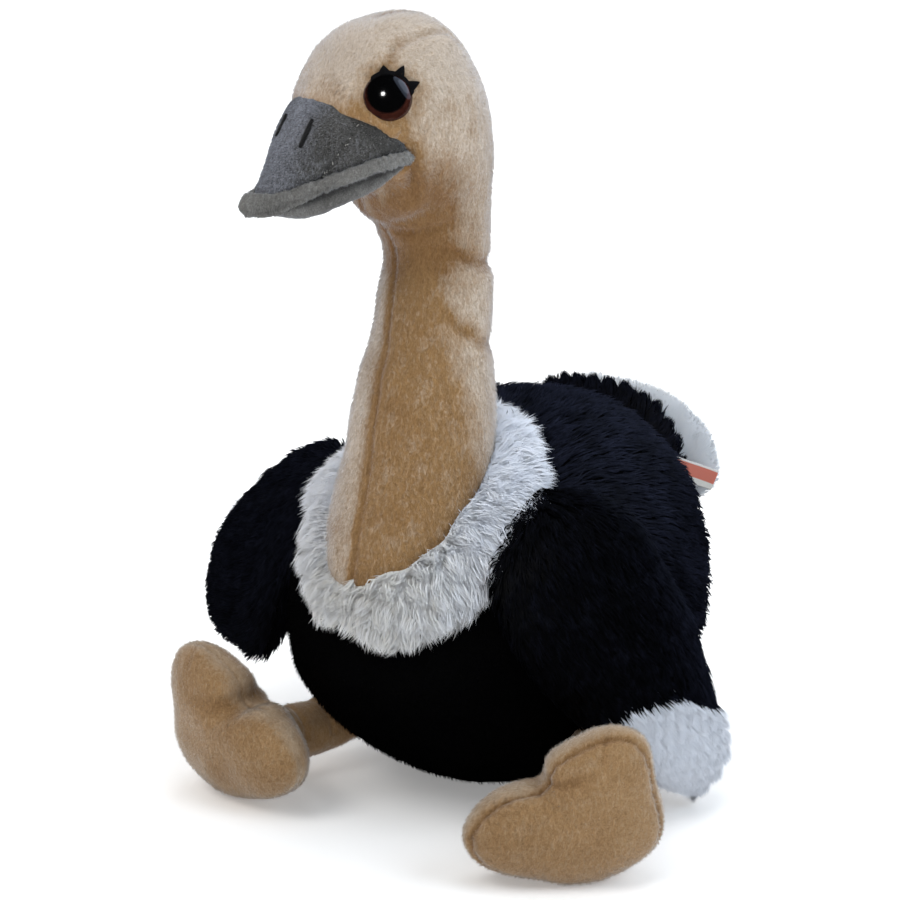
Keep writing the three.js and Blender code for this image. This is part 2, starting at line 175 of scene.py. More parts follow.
def ribbed(ribs, rings, sides, caps=(0, 0), box=1.0):
    """A bag on ribs (from, to, half thickness, side). The ring at a share of the length is
    middle + side * half * cos(angle)^box + (to - from) / 2 * sin(angle)^box, where the last two terms
    are also multiplied by a quarter ellipse near each cap."""
    share = spread(rings, (bool(caps[0]), bool(caps[1])))
    angle = np.arange(sides) * 2 * math.pi / sides
    start, end, side = (along([rib[k] for rib in ribs], share) for k in (0, 1, 3))
    half = along([[rib[2]] for rib in ribs], share)
    closing = (rounding(share, caps[0]) * rounding(1 - share, caps[1]))[:, None]
    wide = unit(side) * half * closing
    tall = (end - start) / 2 * closing
    cos, sin = (squared(turn, box)[None, :, None] for turn in (np.cos(angle), np.sin(angle)))
    return Skin(((start + end) / 2)[:, None] + wide[:, None] * cos + tall[:, None] * sin)


def pillow(at, axis, side, outline, thick, rings, sides):
    """A bag with a flat outline: at + (axis * cos(angle) + side * sin(angle)) * outline(angle) *
    sin(turn)^0.8 + normal * thick * cos(turn), where turn goes from 0 on one face to pi on the other."""
    turn = math.pi * np.clip(np.linspace(0, 1, rings), POLE, 1 - POLE)[:, None]
    angle = np.arange(sides)[None, :] * 2 * math.pi / sides
    reach = (outline(angle) * np.sin(turn) ** 0.8)[..., None]
    axis, side = np.asarray(axis, float), np.asarray(side, float)
    flat = axis * np.cos(angle)[..., None] + side * np.sin(angle)[..., None]
    raised = unit(np.cross(axis, side)) * thick * np.cos(turn)[..., None]
    return Skin(np.asarray(at, float) + flat * reach + raised)


print("two bags: ribs for long pieces, pillows for flat ones")

# %% [markdown]
# ## Seams
# A seam pulls two panels of cloth together, so the skin dips along it, a little deeper at each stitch. The
# dip needs only each point's distance to the line of the seam. A knife cut in the mesh could follow the
# line too, but it would break up the even grid that the pile grows on.

# %% The dent of a seam
def from_line(points, line):
    """Each point's distance to a line of straight stretches, and how far along the line it is, in mm."""
    line = np.asarray(line, float)
    best = np.full(points.shape[:-1], np.inf)
    place = np.zeros_like(best)
    done = 0.0
    for start, end in zip(line[:-1], line[1:]):
        way = end - start
        share = np.clip(((points - start) @ way) / (way @ way), 0, 1)
        distance = np.linalg.norm(points - start - share[..., None] * way, axis=-1)
        nearer = distance < best
        best = np.where(nearer, distance, best)
        place = np.where(nearer, done + share * np.linalg.norm(way), place)
        done += np.linalg.norm(way)
    return best, place


def seam(points, line, deep, wide, pull=0.25, stitch=3.2, fade=3):
    """The dent of a sewn seam, in mm: a bell across the line, deeper by the share `pull` at each stitch.
    Over the last `fade` mm at both ends it dies out to 0.35 of its depth."""
    distance, place = from_line(points, line)
    total = sum(math.dist(a, b) for a, b in zip(line[:-1], line[1:]))
    ends = step(place, -0.01, fade) * (1 - step(place, total - fade, total + 0.01))
    stitched = 1 + pull * np.cos(2 * math.pi * place / stitch)
    return -deep * bump(distance, 0, wide) * stitched * (0.35 + 0.65 * ends)


print("a seam dips", -round(float(seam(np.zeros((1, 3)), [(-9, 0, 0), (9, 0, 0)], 0.5, 1)[0]), 2), "mm")

# %% [markdown]
# ## From a grid to a mesh
# A grid of points becomes a closed mesh of four-sided faces, with a fan of triangles at each end. The
# numbers go into the mesh with foreach_set, which takes whole arrays and is hundreds of times faster than
# adding faces one by one. The object stays at the origin, unturned and unscaled, with its place in its mesh.

# %% Meshes from arrays
def new_mesh(name, places, corners, sizes, unwrap=None, values=None, normals=None):
    """An object from arrays: places (mm), the corners of all faces in one row and the size of each face.
    `unwrap` is one place on the unwrap for each corner, `values` are numbers for each place, by name."""
    mesh = bpy.data.meshes.new(name)
    mesh.vertices.add(len(places))
    mesh.vertices.foreach_set("co", (np.asarray(places) * METRE).astype(np.float32).ravel())
    mesh.loops.add(len(corners))
    mesh.loops.foreach_set("vertex_index", np.asarray(corners, np.int32))
    mesh.polygons.add(len(sizes))
    mesh.polygons.foreach_set("loop_start", np.concatenate([[0], np.cumsum(sizes)[:-1]]).astype(np.int32))
    mesh.update(calc_edges=True)
    mesh.polygons.foreach_set("use_smooth", np.full(len(sizes), True))
    if unwrap is not None:
        mesh.uv_layers.new(name="OFBake").data.foreach_set("uv", np.asarray(unwrap, np.float32).ravel())
    for key, value in (values or {}).items():
        stored = mesh.attributes.new(key, "FLOAT", "POINT")
        stored.data.foreach_set("value", np.asarray(value, np.float32).ravel())
    if normals is not None:
        mesh.normals_split_custom_set_from_vertices(normals)
    made = bpy.data.objects.new(name, mesh)
    bpy.context.collection.objects.link(made)
    return made


def skin_mesh(name, skin, values=None):
    """The closed mesh of a skin. Its faces are the squares of the grid and a fan at either end."""
    rings, sides = skin.points.shape[:2]
    row, column = np.meshgrid(np.arange(rings - 1) * sides, np.arange(sides), indexing="ij")
    after = (column + 1) % sides
    squares = np.stack([row + column, row + after, row + sides + after, row + sides + column], -1)
    last = (rings - 1) * sides
    around, ahead = np.arange(sides), (np.arange(sides) + 1) % sides
    first_fan = np.stack([ahead, around, np.full(sides, rings * sides)], -1)
    last_fan = np.stack([last + around, last + ahead, np.full(sides, rings * sides + 1)], -1)
    faces = [squares.reshape(-1, 4), first_fan, last_fan]
    if skin.flipped:
        faces = [face[:, ::-1] for face in faces]
    places = np.vstack([skin.points.reshape(-1, 3), skin.points[0].mean(0), skin.points[-1].mean(0)])
    on_points = {key: np.append(value.ravel(), [value[0].mean(), value[-1].mean()])
                 for key, value in (values or {}).items()}
    corners = np.concatenate([face.ravel() for face in faces])
    sizes = np.concatenate([np.full(len(face), face.shape[1]) for face in faces])
    return new_mesh(name, places, corners, sizes, values=on_points)


print("meshes are filled from arrays")

# %% [markdown]
# ## Hanging the pieces on the toy
# The toy has one body, so every piece rides on it. A piece also hides the nodes of the frame that it stands
# for. Both happen in one place, so that no piece is forgotten.

# %% Pieces of the frame
def placed(piece, material, replaces=()):
    """Gives a piece its material, hangs it on the toy's one body, and hides the parts of the frame that it
    stands for."""
    piece.data.materials.append(material)
    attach(piece, "root")
    if replaces:
        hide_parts(*replaces)
    return piece


def sewn(name, skin, fabric, nodes, marks=None):
    """A stuffed skin of one fabric. `marks` are numbers for each of its points, by name."""
    return placed(skin_mesh(name, skin, marks), fabric["skin"], nodes)


print("every piece rides on the body called root")

# %% [markdown]
# ## Distances to a skin
# Pile must not grow where two pieces meet, or it would come out through the other piece. So a root asks how
# far it lies outside the neighbours. Blender's shrinkwrap could answer that for one object at a time. A tree
# of the skin's own points answers it for an array of roots.

# %% Near and far from a skin
def from_skin(skin, places):
    """The way to each place from the skin's nearest grid point, and the normal of that point."""
    flat, normals = skin.points.reshape(-1, 3), skin.normals.reshape(-1, 3)
    tree = KDTree(len(flat))
    for index, point in enumerate(flat.tolist()):
        tree.insert(point, index)
    tree.balance()
    nearest = np.array([tree.find(place)[1] for place in places.tolist()])
    return places - flat[nearest], normals[nearest]


def beyond(skin, places):
    """How far places lie outside a skin, in mm, along its normals. It is negative inside."""
    way, normal = from_skin(skin, places)
    return (way * normal).sum(-1)


def beside(skin, places):
    """How far places are from a skin's nearest grid point, in mm."""
    return np.linalg.norm(from_skin(skin, places)[0], axis=-1)


def outside(*skins, gap=0.0):
    """Keeps the roots that lie more than `gap` mm outside every one of the skins."""
    return lambda places: np.all([beyond(skin, places) > gap for skin in skins], axis=0)


print("distances come from a tree of grid points")

# %% [markdown]
# ## Tufts
# A tuft stands for a small lock of pile. It is a three-sided spike whose root is sunk in the skin and which
# leans along the lie of the pile. Short velour needs only the spike itself, three faces. Long pile has a
# knee half way, so it can rise first and then bend over, and its tips are drawn together into locks. Roots
# are strewn evenly: each square of the skin's grid gets tufts in proportion to its area. Every tuft has a
# patch of its own on the unwrap, at its root's place, so the colours can be baked later.

# %% Strewing roots
def roots(skin, count, weight, rng, marks):
    """Evenly strewn places on a skin: squares are drawn by their area times `weight`, and a random place is
    taken in each. Returns them with their normals, the way along the skin, their unwrap and their marks."""
    corner = skin.points[:-1]
    across, down = np.roll(skin.points, -1, 1)[:-1] - corner, skin.points[1:] - corner
    share = np.broadcast_to(weight, skin.points.shape[:2])[:-1]
    area = np.linalg.norm(np.cross(across, down), axis=-1) * share
    filled = np.cumsum(area.ravel())
    chosen = np.searchsorted(filled, (np.arange(count) + rng.random(count)) / count * filled[-1])
    ring, side = np.divmod(np.minimum(chosen, area.size - 1), area.shape[1])
    a, b = rng.random((2, count, 1))
    after = (side + 1) % area.shape[1]

    def between(grid):
        near = grid[ring, side] * (1 - a) + grid[ring, after] * a
        return near * (1 - b) + (grid[ring + 1, side] * (1 - a) + grid[ring + 1, after] * a) * b

    unwrap = skin.unwrap[ring, side] + np.hstack([a / area.shape[1], b / area.shape[0]])
    marked = {key: between(value[..., None])[:, 0] for key, value in marks.items()}
    return between(skin.points), unit(between(skin.normals)), unit(between(skin.length)), unwrap, marked


print("roots are strewn by area")

# %% One tuft, and tufts drawn into locks
PATCH = 0.003  # width of a tuft's patch on the unwrap
ROOT_DEPTH = 0.25  # how far a root is sunk in the skin, in mm
SECTION = np.array([(-0.5, -0.1), (0.5, -0.1), (0.0, 0.5)])  # a tuft's corners: to the side, up, per width


def tuft_faces(knees):
    """The faces of one tuft as corners, and each corner's place on its patch as (share round, share up).
    The places are three for each ring from the root upwards, then the tip."""
    faces, patches = [], []
    stretches = knees + 1
    for turn in range(3):
        a, b = turn, (turn + 1) % 3
        left, right = turn / 3, (turn + 1) / 3
        for knee in range(knees):
            low, high = knee / stretches, (knee + 1) / stretches
            faces.append([a, b, b + 3, a + 3])
            patches.append([(left, low), (right, low), (right, high), (left, high)])
            a, b = a + 3, b + 3
        faces.append([a, b, 3 * stretches])
        patches.append([(left, knees / stretches), (right, knees / stretches), ((left + right) / 2, 1)])
    return faces, patches


def in_locks(spine, normal, side, size, pull, wave, seed, rng):
    """Spines drawn into locks. Roots that share a cell about `size` mm wide form a lock, and a share `pull`
    of the way to the lock's mean tip is added as share^1.5, with less of it downwards. All spines of a lock
    swing sideways by `wave` mm times sin(phase + 5 share)."""
    base, tip = spine[:, 0], spine[:, -1]
    shares = np.linspace(0, 1, spine.shape[1])[:, None]
    cell = np.floor((base + 1.5 * lumps(base, 6 * size, seed)[:, None]) / size).astype(int)
    cell = np.unique(cell @ [1, 1009, 1018081], return_inverse=True)[1].ravel()  # one number for each cell
    mean = np.stack([np.bincount(cell, tip[:, axis]) for axis in range(3)], -1) / np.bincount(cell)[:, None]
    lean = (mean[cell] - tip) * pull
    lean -= normal * np.minimum((lean * normal).sum(-1, keepdims=True), 0) * 0.7
    phase = rng.uniform(0, 2 * math.pi, cell.max() + 1)[cell][:, None, None]
    swing = wave * np.sin(phase + 5 * shares) * shares
    return spine + lean[:, None] * shares**1.5 + side[:, None] * swing


print("triangles of a tuft with 0, 1 and 2 knees:", [3 * (2 * knees + 1) for knees in range(3)])

# %% A coat of tufts
def coat(name, skin, count, length, width, lie, lift=(35, 12), weight=1.0, keep=None, knees=1, locks=0,
         pull=0.5, wave=0.0, ragged=0.3, rounded=0.35, stand=None, marks=None, seed=1):
    """Tufts on a skin. Each one leaves its root at `lift[0]` degrees and ends at `lift[1]` degrees above the
    skin, heading along `lie` (a function of the roots and of the skin's length direction), and it bends at
    `knees` places. `length` and `width` are in mm, `ragged` is the uneven share of both, and three quarters
    of it scatter the heading. A lift varies by a quarter, and the width falls as 1 - share^2 / 2 before the
    sides meet in the tip. `keep` is a test of the roots. `locks`, `pull` and `wave` draw the tufts into
    locks. A tuft is shaded as the skin below it, turned towards its own sides by `rounded`. `stand` gives
    the roots more degrees of lift."""
    rng = np.random.default_rng(seed)
    base, normal, down, unwrap, marks = roots(skin, count, weight, rng, marks or {})
    kept = np.ones(len(base), bool) if keep is None else keep(base)
    base, normal, down, unwrap = base[kept], normal[kept], down[kept], unwrap[kept]
    number, stretches = len(base), knees + 1

    way = lie(base, down) + rng.normal(scale=0.75 * ragged, size=base.shape)
    way = unit(way - normal * (way * normal).sum(-1, keepdims=True))
    side = unit(np.cross(normal, way))
    tall = (length(base) if callable(length) else length) * rng.uniform(1 - ragged, 1 + ragged / 2, number)
    wide = width * rng.uniform(1 - ragged, 1 + ragged, number)
    uneven = rng.uniform(0.75, 1.25, (2, number))
    steeper = stand(base) if stand else 0
    places = [base]
    for stretch in range(stretches):
        share = stretch / max(knees, 1)
        angle = lift[0] * uneven[0] * (1 - share) + lift[1] * uneven[1] * share + steeper
        angle = np.radians(angle)[:, None]
        heading = way * np.cos(angle) + normal * np.sin(angle)
        places.append(places[-1] + heading * (tall / stretches)[:, None])
    spine = np.stack(places, 1)
    if locks:
        spine = in_locks(spine, normal, side, locks, pull, wave, seed, rng)
    spine[:, 0] -= normal * ROOT_DEPTH

    shares = np.linspace(0, 1, stretches + 1)[:, None]
    ring = side[:, None, None] * SECTION[:, :1] + normal[:, None, None] * SECTION[:, 1:]
    ring = ring * wide[:, None, None, None] * (1 - 0.5 * shares**2)[:-1, None]
    places = np.concatenate([(spine[:, :-1, None] + ring).reshape(number, -1, 3), spine[:, -1:]], 1)
    each = places.shape[1]
    faces, patches = tuft_faces(knees)
    corners = (np.arange(number)[:, None] * each + np.concatenate(faces)).ravel()
    sizes = np.tile([len(face) for face in faces], number)
    patch = np.concatenate(patches) * PATCH
    unwrapped = (np.clip(unwrap, 0, 1 - PATCH)[:, None] + patch).reshape(-1, 2)
    outward = unit(ring).reshape(number, -1, 3)
    soft = unit(np.concatenate([outward, heading[:, None]], 1) * rounded + normal[:, None])
    values = {"rise": np.tile(np.append(np.repeat(shares[:-1], 3), 1), number),
              "shade": np.repeat(rng.random(number), each)}
    for key, value in marks.items():
        values[key] = np.repeat(value[kept], each)
    return new_mesh(name, places.reshape(-1, 3), corners, sizes, unwrapped, values, soft.reshape(-1, 3))


print("a coat stores how far up a tuft each point is, and a shade for each tuft")

# %% [markdown]
# ## Shader maths as sums
# A node tree is a sum written as boxes and wires. The small class below wraps a socket, so that an
# expression such as 1 - mask * 0.4 adds the Math nodes by itself. Every other node comes from one method.
# What changes over a surface feeds only the colour, the roughness and the bump. What is the same all over,
# such as the sheen of pile, is typed straight into the shader's own socket.

# %% Wires and recipes
class Wire:
    """A shader socket that can be used in sums."""

    def __init__(self, recipe, socket):
        self.recipe, self.socket = recipe, socket

    def maths(self, operation, first, second):
        return self.recipe.node("ShaderNodeMath", {"operation": operation}, [first, second])

    def __add__(self, other):
        return self.maths("ADD", self, other)

    def __sub__(self, other):
        return self.maths("SUBTRACT", self, other)

    def __rsub__(self, other):
        return self.maths("SUBTRACT", other, self)

    def __mul__(self, other):
        return self.maths("MULTIPLY", self, other)

    __radd__, __rmul__ = __add__, __mul__


class Recipe:
    """A material under construction."""

    def __init__(self, name):
        self.material = bpy.data.materials.new(name)
        self.material.use_nodes = True
        self.nodes = self.material.node_tree.nodes
        self.shader = self.nodes["Principled BSDF"]

    def node(self, kind, settings=None, inputs=(), output=0):
        """Adds a node: first its settings, then a value or a wire for each socket. `stops` are a ramp's."""
        made = self.nodes.new(kind)
        for key, value in (settings or {}).items():
            if key == "stops":
                for _ in range(len(value) - 2):
                    made.color_ramp.elements.new(0.5)
                for element, (position, color) in zip(made.color_ramp.elements, value):
                    element.position, element.color = position, color
            else:
                setattr(made, key, value)
        pairs = inputs.items() if isinstance(inputs, dict) else enumerate(inputs)
        for key, value in pairs:
            self.feed(made.inputs[key], value)
        return Wire(self, made.outputs[output])

    def feed(self, socket, value):
        """Links a wire to a socket, or types a value into it."""
        if isinstance(value, Wire):
            self.material.node_tree.links.new(value.socket, socket)
        else:
            socket.default_value = value

    def finish(self, **sockets):
        """Fills the shader's sockets: Base_Color=... is its socket Base Color."""
        for key, value in sockets.items():
            self.feed(self.shader.inputs[key.replace("_", " ")], value)
        return self.material

    def places(self, scale=(1, 1, 1)):
        """The piece's own coordinates in millimetres, times `scale`."""
        place = self.node("ShaderNodeTexCoord", output="Object")
        scale = [value / METRE for value in scale]
        return self.node("ShaderNodeMapping", inputs={"Vector": place, "Scale": scale})

    def noise(self, places, size, detail=3, rough=0.5, swirl=0.0):
        """An uneven value of 0 to 1 with spots about `size` mm wide, drawn out into swirls if wanted."""
        inputs = {"Vector": places, "Scale": 1 / size, "Detail": detail, "Roughness": rough}
        return self.node("ShaderNodeTexNoise", inputs={**inputs, "Distortion": swirl}, output="Fac")

    def value(self, name):
        """A number stored on the piece's points."""
        return self.node("ShaderNodeAttribute", {"attribute_name": name}, output="Fac")

    def blend(self, share, first, second):
        """One colour turned into another by a share of 0 to 1."""
        settings = {"data_type": "RGBA", "clamp_factor": True}
        return self.node("ShaderNodeMix", settings, {0: share, 6: first, 7: second}, 2)

    def level(self, value, low, high):
        """A value stretched so that low becomes 0 and high becomes 1."""
        return self.node("ShaderNodeMapRange", {"clamp": True}, [value, low, high, 0.0, 1.0])

    def bumps(self, height, mm, below=None):
        """The normal of a surface that rises by up to `mm`, on top of the bumps `below`."""
        inputs = {"Height": height, "Distance": mm * METRE, "Strength": 1.0}
        if below is not None:
            inputs["Normal"] = below
        return self.node("ShaderNodeBump", inputs=inputs)


print("materials are written as expressions")

# %% [markdown]
# ## The fabrics
# Pile fabric has its own colour along the hairs and is palest at their tips, and near the roots it is
# drawn darker as painted shade between the hairs. So each fabric is one ramp of three colours. On a tuft
# the ramp is read by how far up the tuft a point is, and on the skin by a fine stretched noise. Both add the
# same wide blotches and the same crimp, so that skin and tufts carry the same markings. Where a piece marks
# its creases, the ramp goes down as painted crease shade, and where it marks painted sheen, a paler pair of
# colours takes over, as if the nap caught the light. Sheen gives the pale edge that plush has.

# %% Pile fabrics
TIP_LIGHTER = 0.45  # how far a tuft's tip is up the ramp from its root
ROOT_SHADE = 0.32  # where on the ramp the roots are, drawn low as painted shade between the hairs
PAINTED_CREASE_SHADE = 0.45  # how far down the ramp the painted shade in a crease goes
PAINTED_SHEEN_MOST, PAINTED_SHEEN_CRIMP, PAINTED_SHEEN_IN_CREASE = 0.9, 1.1, 0.4  # of the painted sheen colours: most, uneven, less in painted crease shade
BLOTCH, BLOTCH_STRENGTH, CRIMP_STRENGTH = 14, 0.4, 0.45  # mm, and shares of the ramp from low to high


def shade_of(red, green, blue):
    """A colour in screen values of 0 to 255 as the shader needs it: (c / 255 + 0.055) / 1.055 to the 2.4."""
    return *(((value / 255 + 0.055) / 1.055) ** 2.4 for value in (red, green, blue)), 1.0


def pile(name, colors, is_tuft, sheen=0.4, roughness=0.9, gloss=0.3, ripple=(1.6, 0.25), grain=(0.4, 0.14),
         fleck=0.4, tint=(255, 252, 248), bloom=None):
    """A pile fabric: colours of the roots, the hairs and the tips, as a skin or as the tufts on it.
    `ripple` and `grain` are the width and the height in mm of the middling and the fine marks. `fleck` is
    how much the tufts differ from each other. `bloom` is the dark and the light colour of a
    painted sheen, laid on by the piece's number `brushed`. Its number `crease` is painted shade
    in creases."""
    recipe = Recipe(name)
    crimped = recipe.noise(recipe.places((1, 1, 0.5)), ripple[0], 3, 0.6, 0.4)
    blotches = recipe.noise(recipe.places(), BLOTCH, 2)
    share = (blotches - 0.5) * BLOTCH_STRENGTH + (crimped - 0.5) * CRIMP_STRENGTH
    bump = recipe.bumps(crimped, ripple[1])
    if is_tuft:
        # a tuft's root sits low on the ramp: painted shade between the hairs
        share = share + recipe.value("rise") * TIP_LIGHTER + ROOT_SHADE
        share = share + (recipe.value("shade") - 0.5) * fleck
    else:
        fine = recipe.noise(recipe.places((1, 1, 0.5)), grain[0], 3, 0.65)
        share = share + fine
        bump = recipe.bumps(fine, grain[1], bump)
    # painted shade: the ramp goes down where the piece marks a crease
    share = share - recipe.value("crease") * PAINTED_CREASE_SHADE
    stops = [(place, shade_of(*color)) for place, color in zip((0.0, 0.5, 1.0), colors)]
    color = recipe.node("ShaderNodeValToRGB", {"stops": stops}, [share])
    # painted sheen: a paler pair of colours where the piece marks the nap as catching the light
    if bloom:
        up = recipe.value("brushed") + (crimped - 0.5) * PAINTED_SHEEN_CRIMP - recipe.value("crease") * PAINTED_SHEEN_IN_CREASE
        pale = recipe.blend(share, shade_of(*bloom[0]), shade_of(*bloom[1]))
        color = recipe.blend(recipe.level(up, 0.0, 1.0) * PAINTED_SHEEN_MOST, color, pale)
    return recipe.finish(Base_Color=color, Roughness=roughness, Specular_IOR_Level=gloss, Sheen_Weight=sheen,
                         Sheen_Roughness=0.4, Sheen_Tint=shade_of(*tint), Normal=bump)


def fabric(slot, name, colors, **finish):
    """The two finishes of one fabric, for its skins and for its tufts, and the slot of both."""
    return {"slot": slot, "skin": pile(name, colors, False, **finish),
            "tufts": pile(name + "_tufts", colors, True, **finish)}


# each pair bloom is a painted sheen, paler and often bluer than the fabric
BEIGE = fabric("beige_plush", "beige_plush", [(121, 86, 50), (147, 114, 74), (170, 139, 101)], sheen=1.0,
               gloss=0.1, ripple=(1.1, 0.28), tint=(238, 244, 255), bloom=((156, 136, 112), (230, 217, 202)))
TAN = fabric("tan_plush", "tan_plush", [(110, 79, 48), (150, 118, 81), (176, 147, 110)], sheen=0.9,
             gloss=0.1, ripple=(1.1, 0.25), bloom=((150, 130, 106), (184, 166, 144)))
GREY = fabric("grey_plush", "grey_velour", [(30, 30, 30), (73, 72, 70), (122, 122, 122)], sheen=0.6,
              gloss=0.1, fleck=1.2, ripple=(0.9, 0.35), grain=(0.3, 0.25), tint=(196, 206, 224),
              bloom=((34, 35, 41), (176, 180, 193)))
LIP_VELOUR = fabric("grey_plush", "lip_velour", [(48, 47, 45), (114, 113, 110), (176, 175, 172)], sheen=0.6,
                    gloss=0.1, ripple=(1.1, 0.5), grain=(0.3, 0.2), tint=(220, 224, 232))
# a lighter grey velour: painted light that makes up for the shade the lip casts on the lower bill
LIGHTENED_JAW_VELOUR = fabric("grey_plush", "jaw_velour", [(46, 46, 45), (100, 99, 97), (156, 155, 153)], sheen=0.6,
                    gloss=0.1, ripple=(1.0, 0.4), grain=(0.3, 0.2), tint=(210, 216, 228))
BLACK = fabric("black_plush", "black_plush", [(1, 1, 1), (2, 2, 3), (5, 5, 7)], sheen=0.0, roughness=0.8,
               gloss=0.01)
SILK = fabric("black_plush", "long_black_pile", [(1, 1, 2), (3, 4, 7), (8, 9, 16)], sheen=0.0, roughness=0.5,
              gloss=0.03, ripple=(3.0, 0.3), bloom=((8, 9, 15), (33, 36, 51)))
WHITE = fabric("white_plush", "long_white_pile", [(202, 207, 218), (216, 222, 232), (230, 234, 243)],
               sheen=0.2, gloss=0.15)
# a lighter, bluer copy of the white pile: painted light for the tail, which the lamps reach less
LIGHTENED_WHITE = fabric("white_plush", "white_tail_pile", [(234, 240, 250), (242, 247, 254), (247, 251, 255)],
              sheen=0.6, gloss=0.15)
CREAM = fabric("cream_plush", "cream_fluff", [(214, 210, 199), (224, 223, 218), (232, 233, 232)], sheen=0.5,
               gloss=0.1, ripple=(3.0, 0.2), bloom=((214, 220, 233), (232, 238, 251)))
print("ten pile fabrics, each for a skin and for its tufts")

# %% [markdown]
# ## The head's own directions
# The head is turned to the toy's right, so its parts are placed in directions of its own: forward to the
# bill, out to the toy's left, and up. An empty with the head's pieces as its children would turn them too,
# but every mesh here has to hold its own place, so a function turns the numbers instead.

# %% Forward, out and up
HEAD_TURN = 23  # degrees to the toy's right
HEAD_YAW = math.radians(HEAD_TURN)
HEAD_AXIS = np.array([-4.0, -33.0])
HEAD_AHEAD = np.array([-math.sin(HEAD_YAW), -math.cos(HEAD_YAW), 0])
HEAD_LEFT = np.array([math.cos(HEAD_YAW), -math.sin(HEAD_YAW), 0])
HEAD_EGG = {"forward": 18, "height": 237, "long": 33, "wide": 29.5, "tall": 30}  # its middle and radii
EYE = {"radius": 7.9, "dome": 5.6, "sunk": 2.2, "forward": 34, "out": 24.3, "height": 243.5}


def on_head(places):
    """Rows of (forward of the head's axis, out to the toy's left, height) as points."""
    forward, out, height = np.asarray(places, float).T
    flat = forward[:, None] * HEAD_AHEAD + out[:, None] * HEAD_LEFT
    return flat + np.column_stack([np.tile(HEAD_AXIS, (len(forward), 1)), height])


def both_sides(places):
    """A line on the head and its mirror image."""
    return [on_head(np.asarray(places, float) * [1, sign, 1]) for sign in (1, -1)]


def forward_of(points):
    """How far points lie forward of the head's axis, in mm."""
    return (points - [*HEAD_AXIS, 0]) @ HEAD_AHEAD


def left_of(points):
    """How far points lie to the left of the head's middle, in mm."""
    return (points - [*HEAD_AXIS, 0]) @ HEAD_LEFT


EYE_PLACES = [line[0] for line in both_sides([(EYE["forward"], EYE["out"], EYE["height"])])]
print("eyes at", [place.round(1).tolist() for place in EYE_PLACES])

# %% [markdown]
# ## The neck and the head
# One tube of beige plush runs from the shoulders up the neck, over the crown and down to the bill. Its ribs
# reach from the throat to the nape and turn more and more to the toy's right. A curve with a bevel could
# sweep a round tube, but ribs also set how deep the neck is from front to back and how it tilts.

# %% Ribs from the shoulders to the face
SHORT_PILE = 1.3  # how far the skin lies under the tips of the short plush
NECK_RIBS = [
    (-3, -53.5, 30, 77, 30, 90, 26, 3), (-3.5, -51, 30, 90, 30, 104, 27.5, 4),
    (-4, -48, 27.5, 106, 27, 112, 27, 5), (-4, -43.5, 26, 122, 25.7, 124, 26, 7),
    (-4, -41, 24.6, 138, 24.6, 140, 24.6, 9),
    (-4, -37.5, 21.5, 154, 21, 155, 21.5, 11), (-4, -35.5, 20, 171, 20, 172, 20, 14),
    (-4, -33.5, 18.5, 186, 18.5, 189, 19, 18),
]  # x and y of the middle, ahead and its height, behind and its height, half width, yaw
HEAD_RIBS = [
    (21, 197, 18, 207, 20.5), (26, 203, 18, 223, 24), (31, 208, 14, 241, 27.8), (36, 210, 5.5, 257, 29.5),
    (41, 213, -8, 267, 29), (46, 218, -30, 264.5, 25), (51, 228, -50, 248, 18),
]  # ahead and its height, behind and its height, half width


def neck_rib(row):
    """A rib about (x, y): its front end is `ahead` of that, its back end `behind`, at this yaw."""
    x, y, ahead, ahead_z, behind, behind_z, half, yaw = row
    sin, cos = math.sin(math.radians(yaw)), math.cos(math.radians(yaw))
    front = (x - ahead * sin, y - ahead * cos, ahead_z)
    back = (x + behind * sin, y + behind * cos, behind_z)
    return front, back, half, (cos, -sin, 0)


beige_ribs = [neck_rib(row) for row in NECK_RIBS]
beige_ribs += [neck_rib((*HEAD_AXIS, *row, HEAD_TURN)) for row in HEAD_RIBS]
beige = ribbed(beige_ribs, 320, 184, (0, 0.075)).raised(-SHORT_PILE)
print("ribs from the shoulders to the face:", len(beige_ribs))

# %% [markdown]
# ## Seams and folds of the beige plush
# What makes the tube a sewn toy are its seams: one down the throat, one down the nape, and a dart on each
# side of the crown. Behind the mouth the cheek folds, and the stuffed neck creases where it leans back. Each
# line dents or swells the skin and gets painted crease shade, and beside it the painted sheen is held back,
# so that the plush shows golden there as painted shade. In these sums high * bump(distance, place, wide) is
# a swelling `high` mm high, `place` mm off the line and `wide` mm wide, and a negative one is a dent.

# %% Lines on the neck and the head
CROWN_DART = [(34, 22, 251), (29, 19, 257.6), (24.4, 18, 260), (18.3, 17.2, 261.3), (11.9, 15.9, 261.7),
              (5.6, 13.8, 261), (0, 15, 257)]
CHEEK_FOLD = [(30.7, 26.7, 231), (27.9, 26.8, 228), (25.2, 24.3, 221), (19.5, 14.7, 211), (22.7, 4, 207)]
THROAT_SEAM = [(35.4, 9.6, 212), (31.3, 8.9, 210), (27.1, 6.8, 206), (21.7, 5.5, 199.7), (19.4, 6.6, 196.7)]
JAW_FOLD = [(19.4, 6.6, 196.7), (15.4, 13.4, 197), (10.2, 17.5, 198.5), (4.9, 19.8, 200.6)]
FACE_SEAM = [(26.5, 26, 224), (29.4, 26.3, 228.4), (33.3, 25.4, 231), (37.6, 23.6, 234), (43, 19, 236.8),
             (47, 14, 238.4), (50.5, 3, 241)]

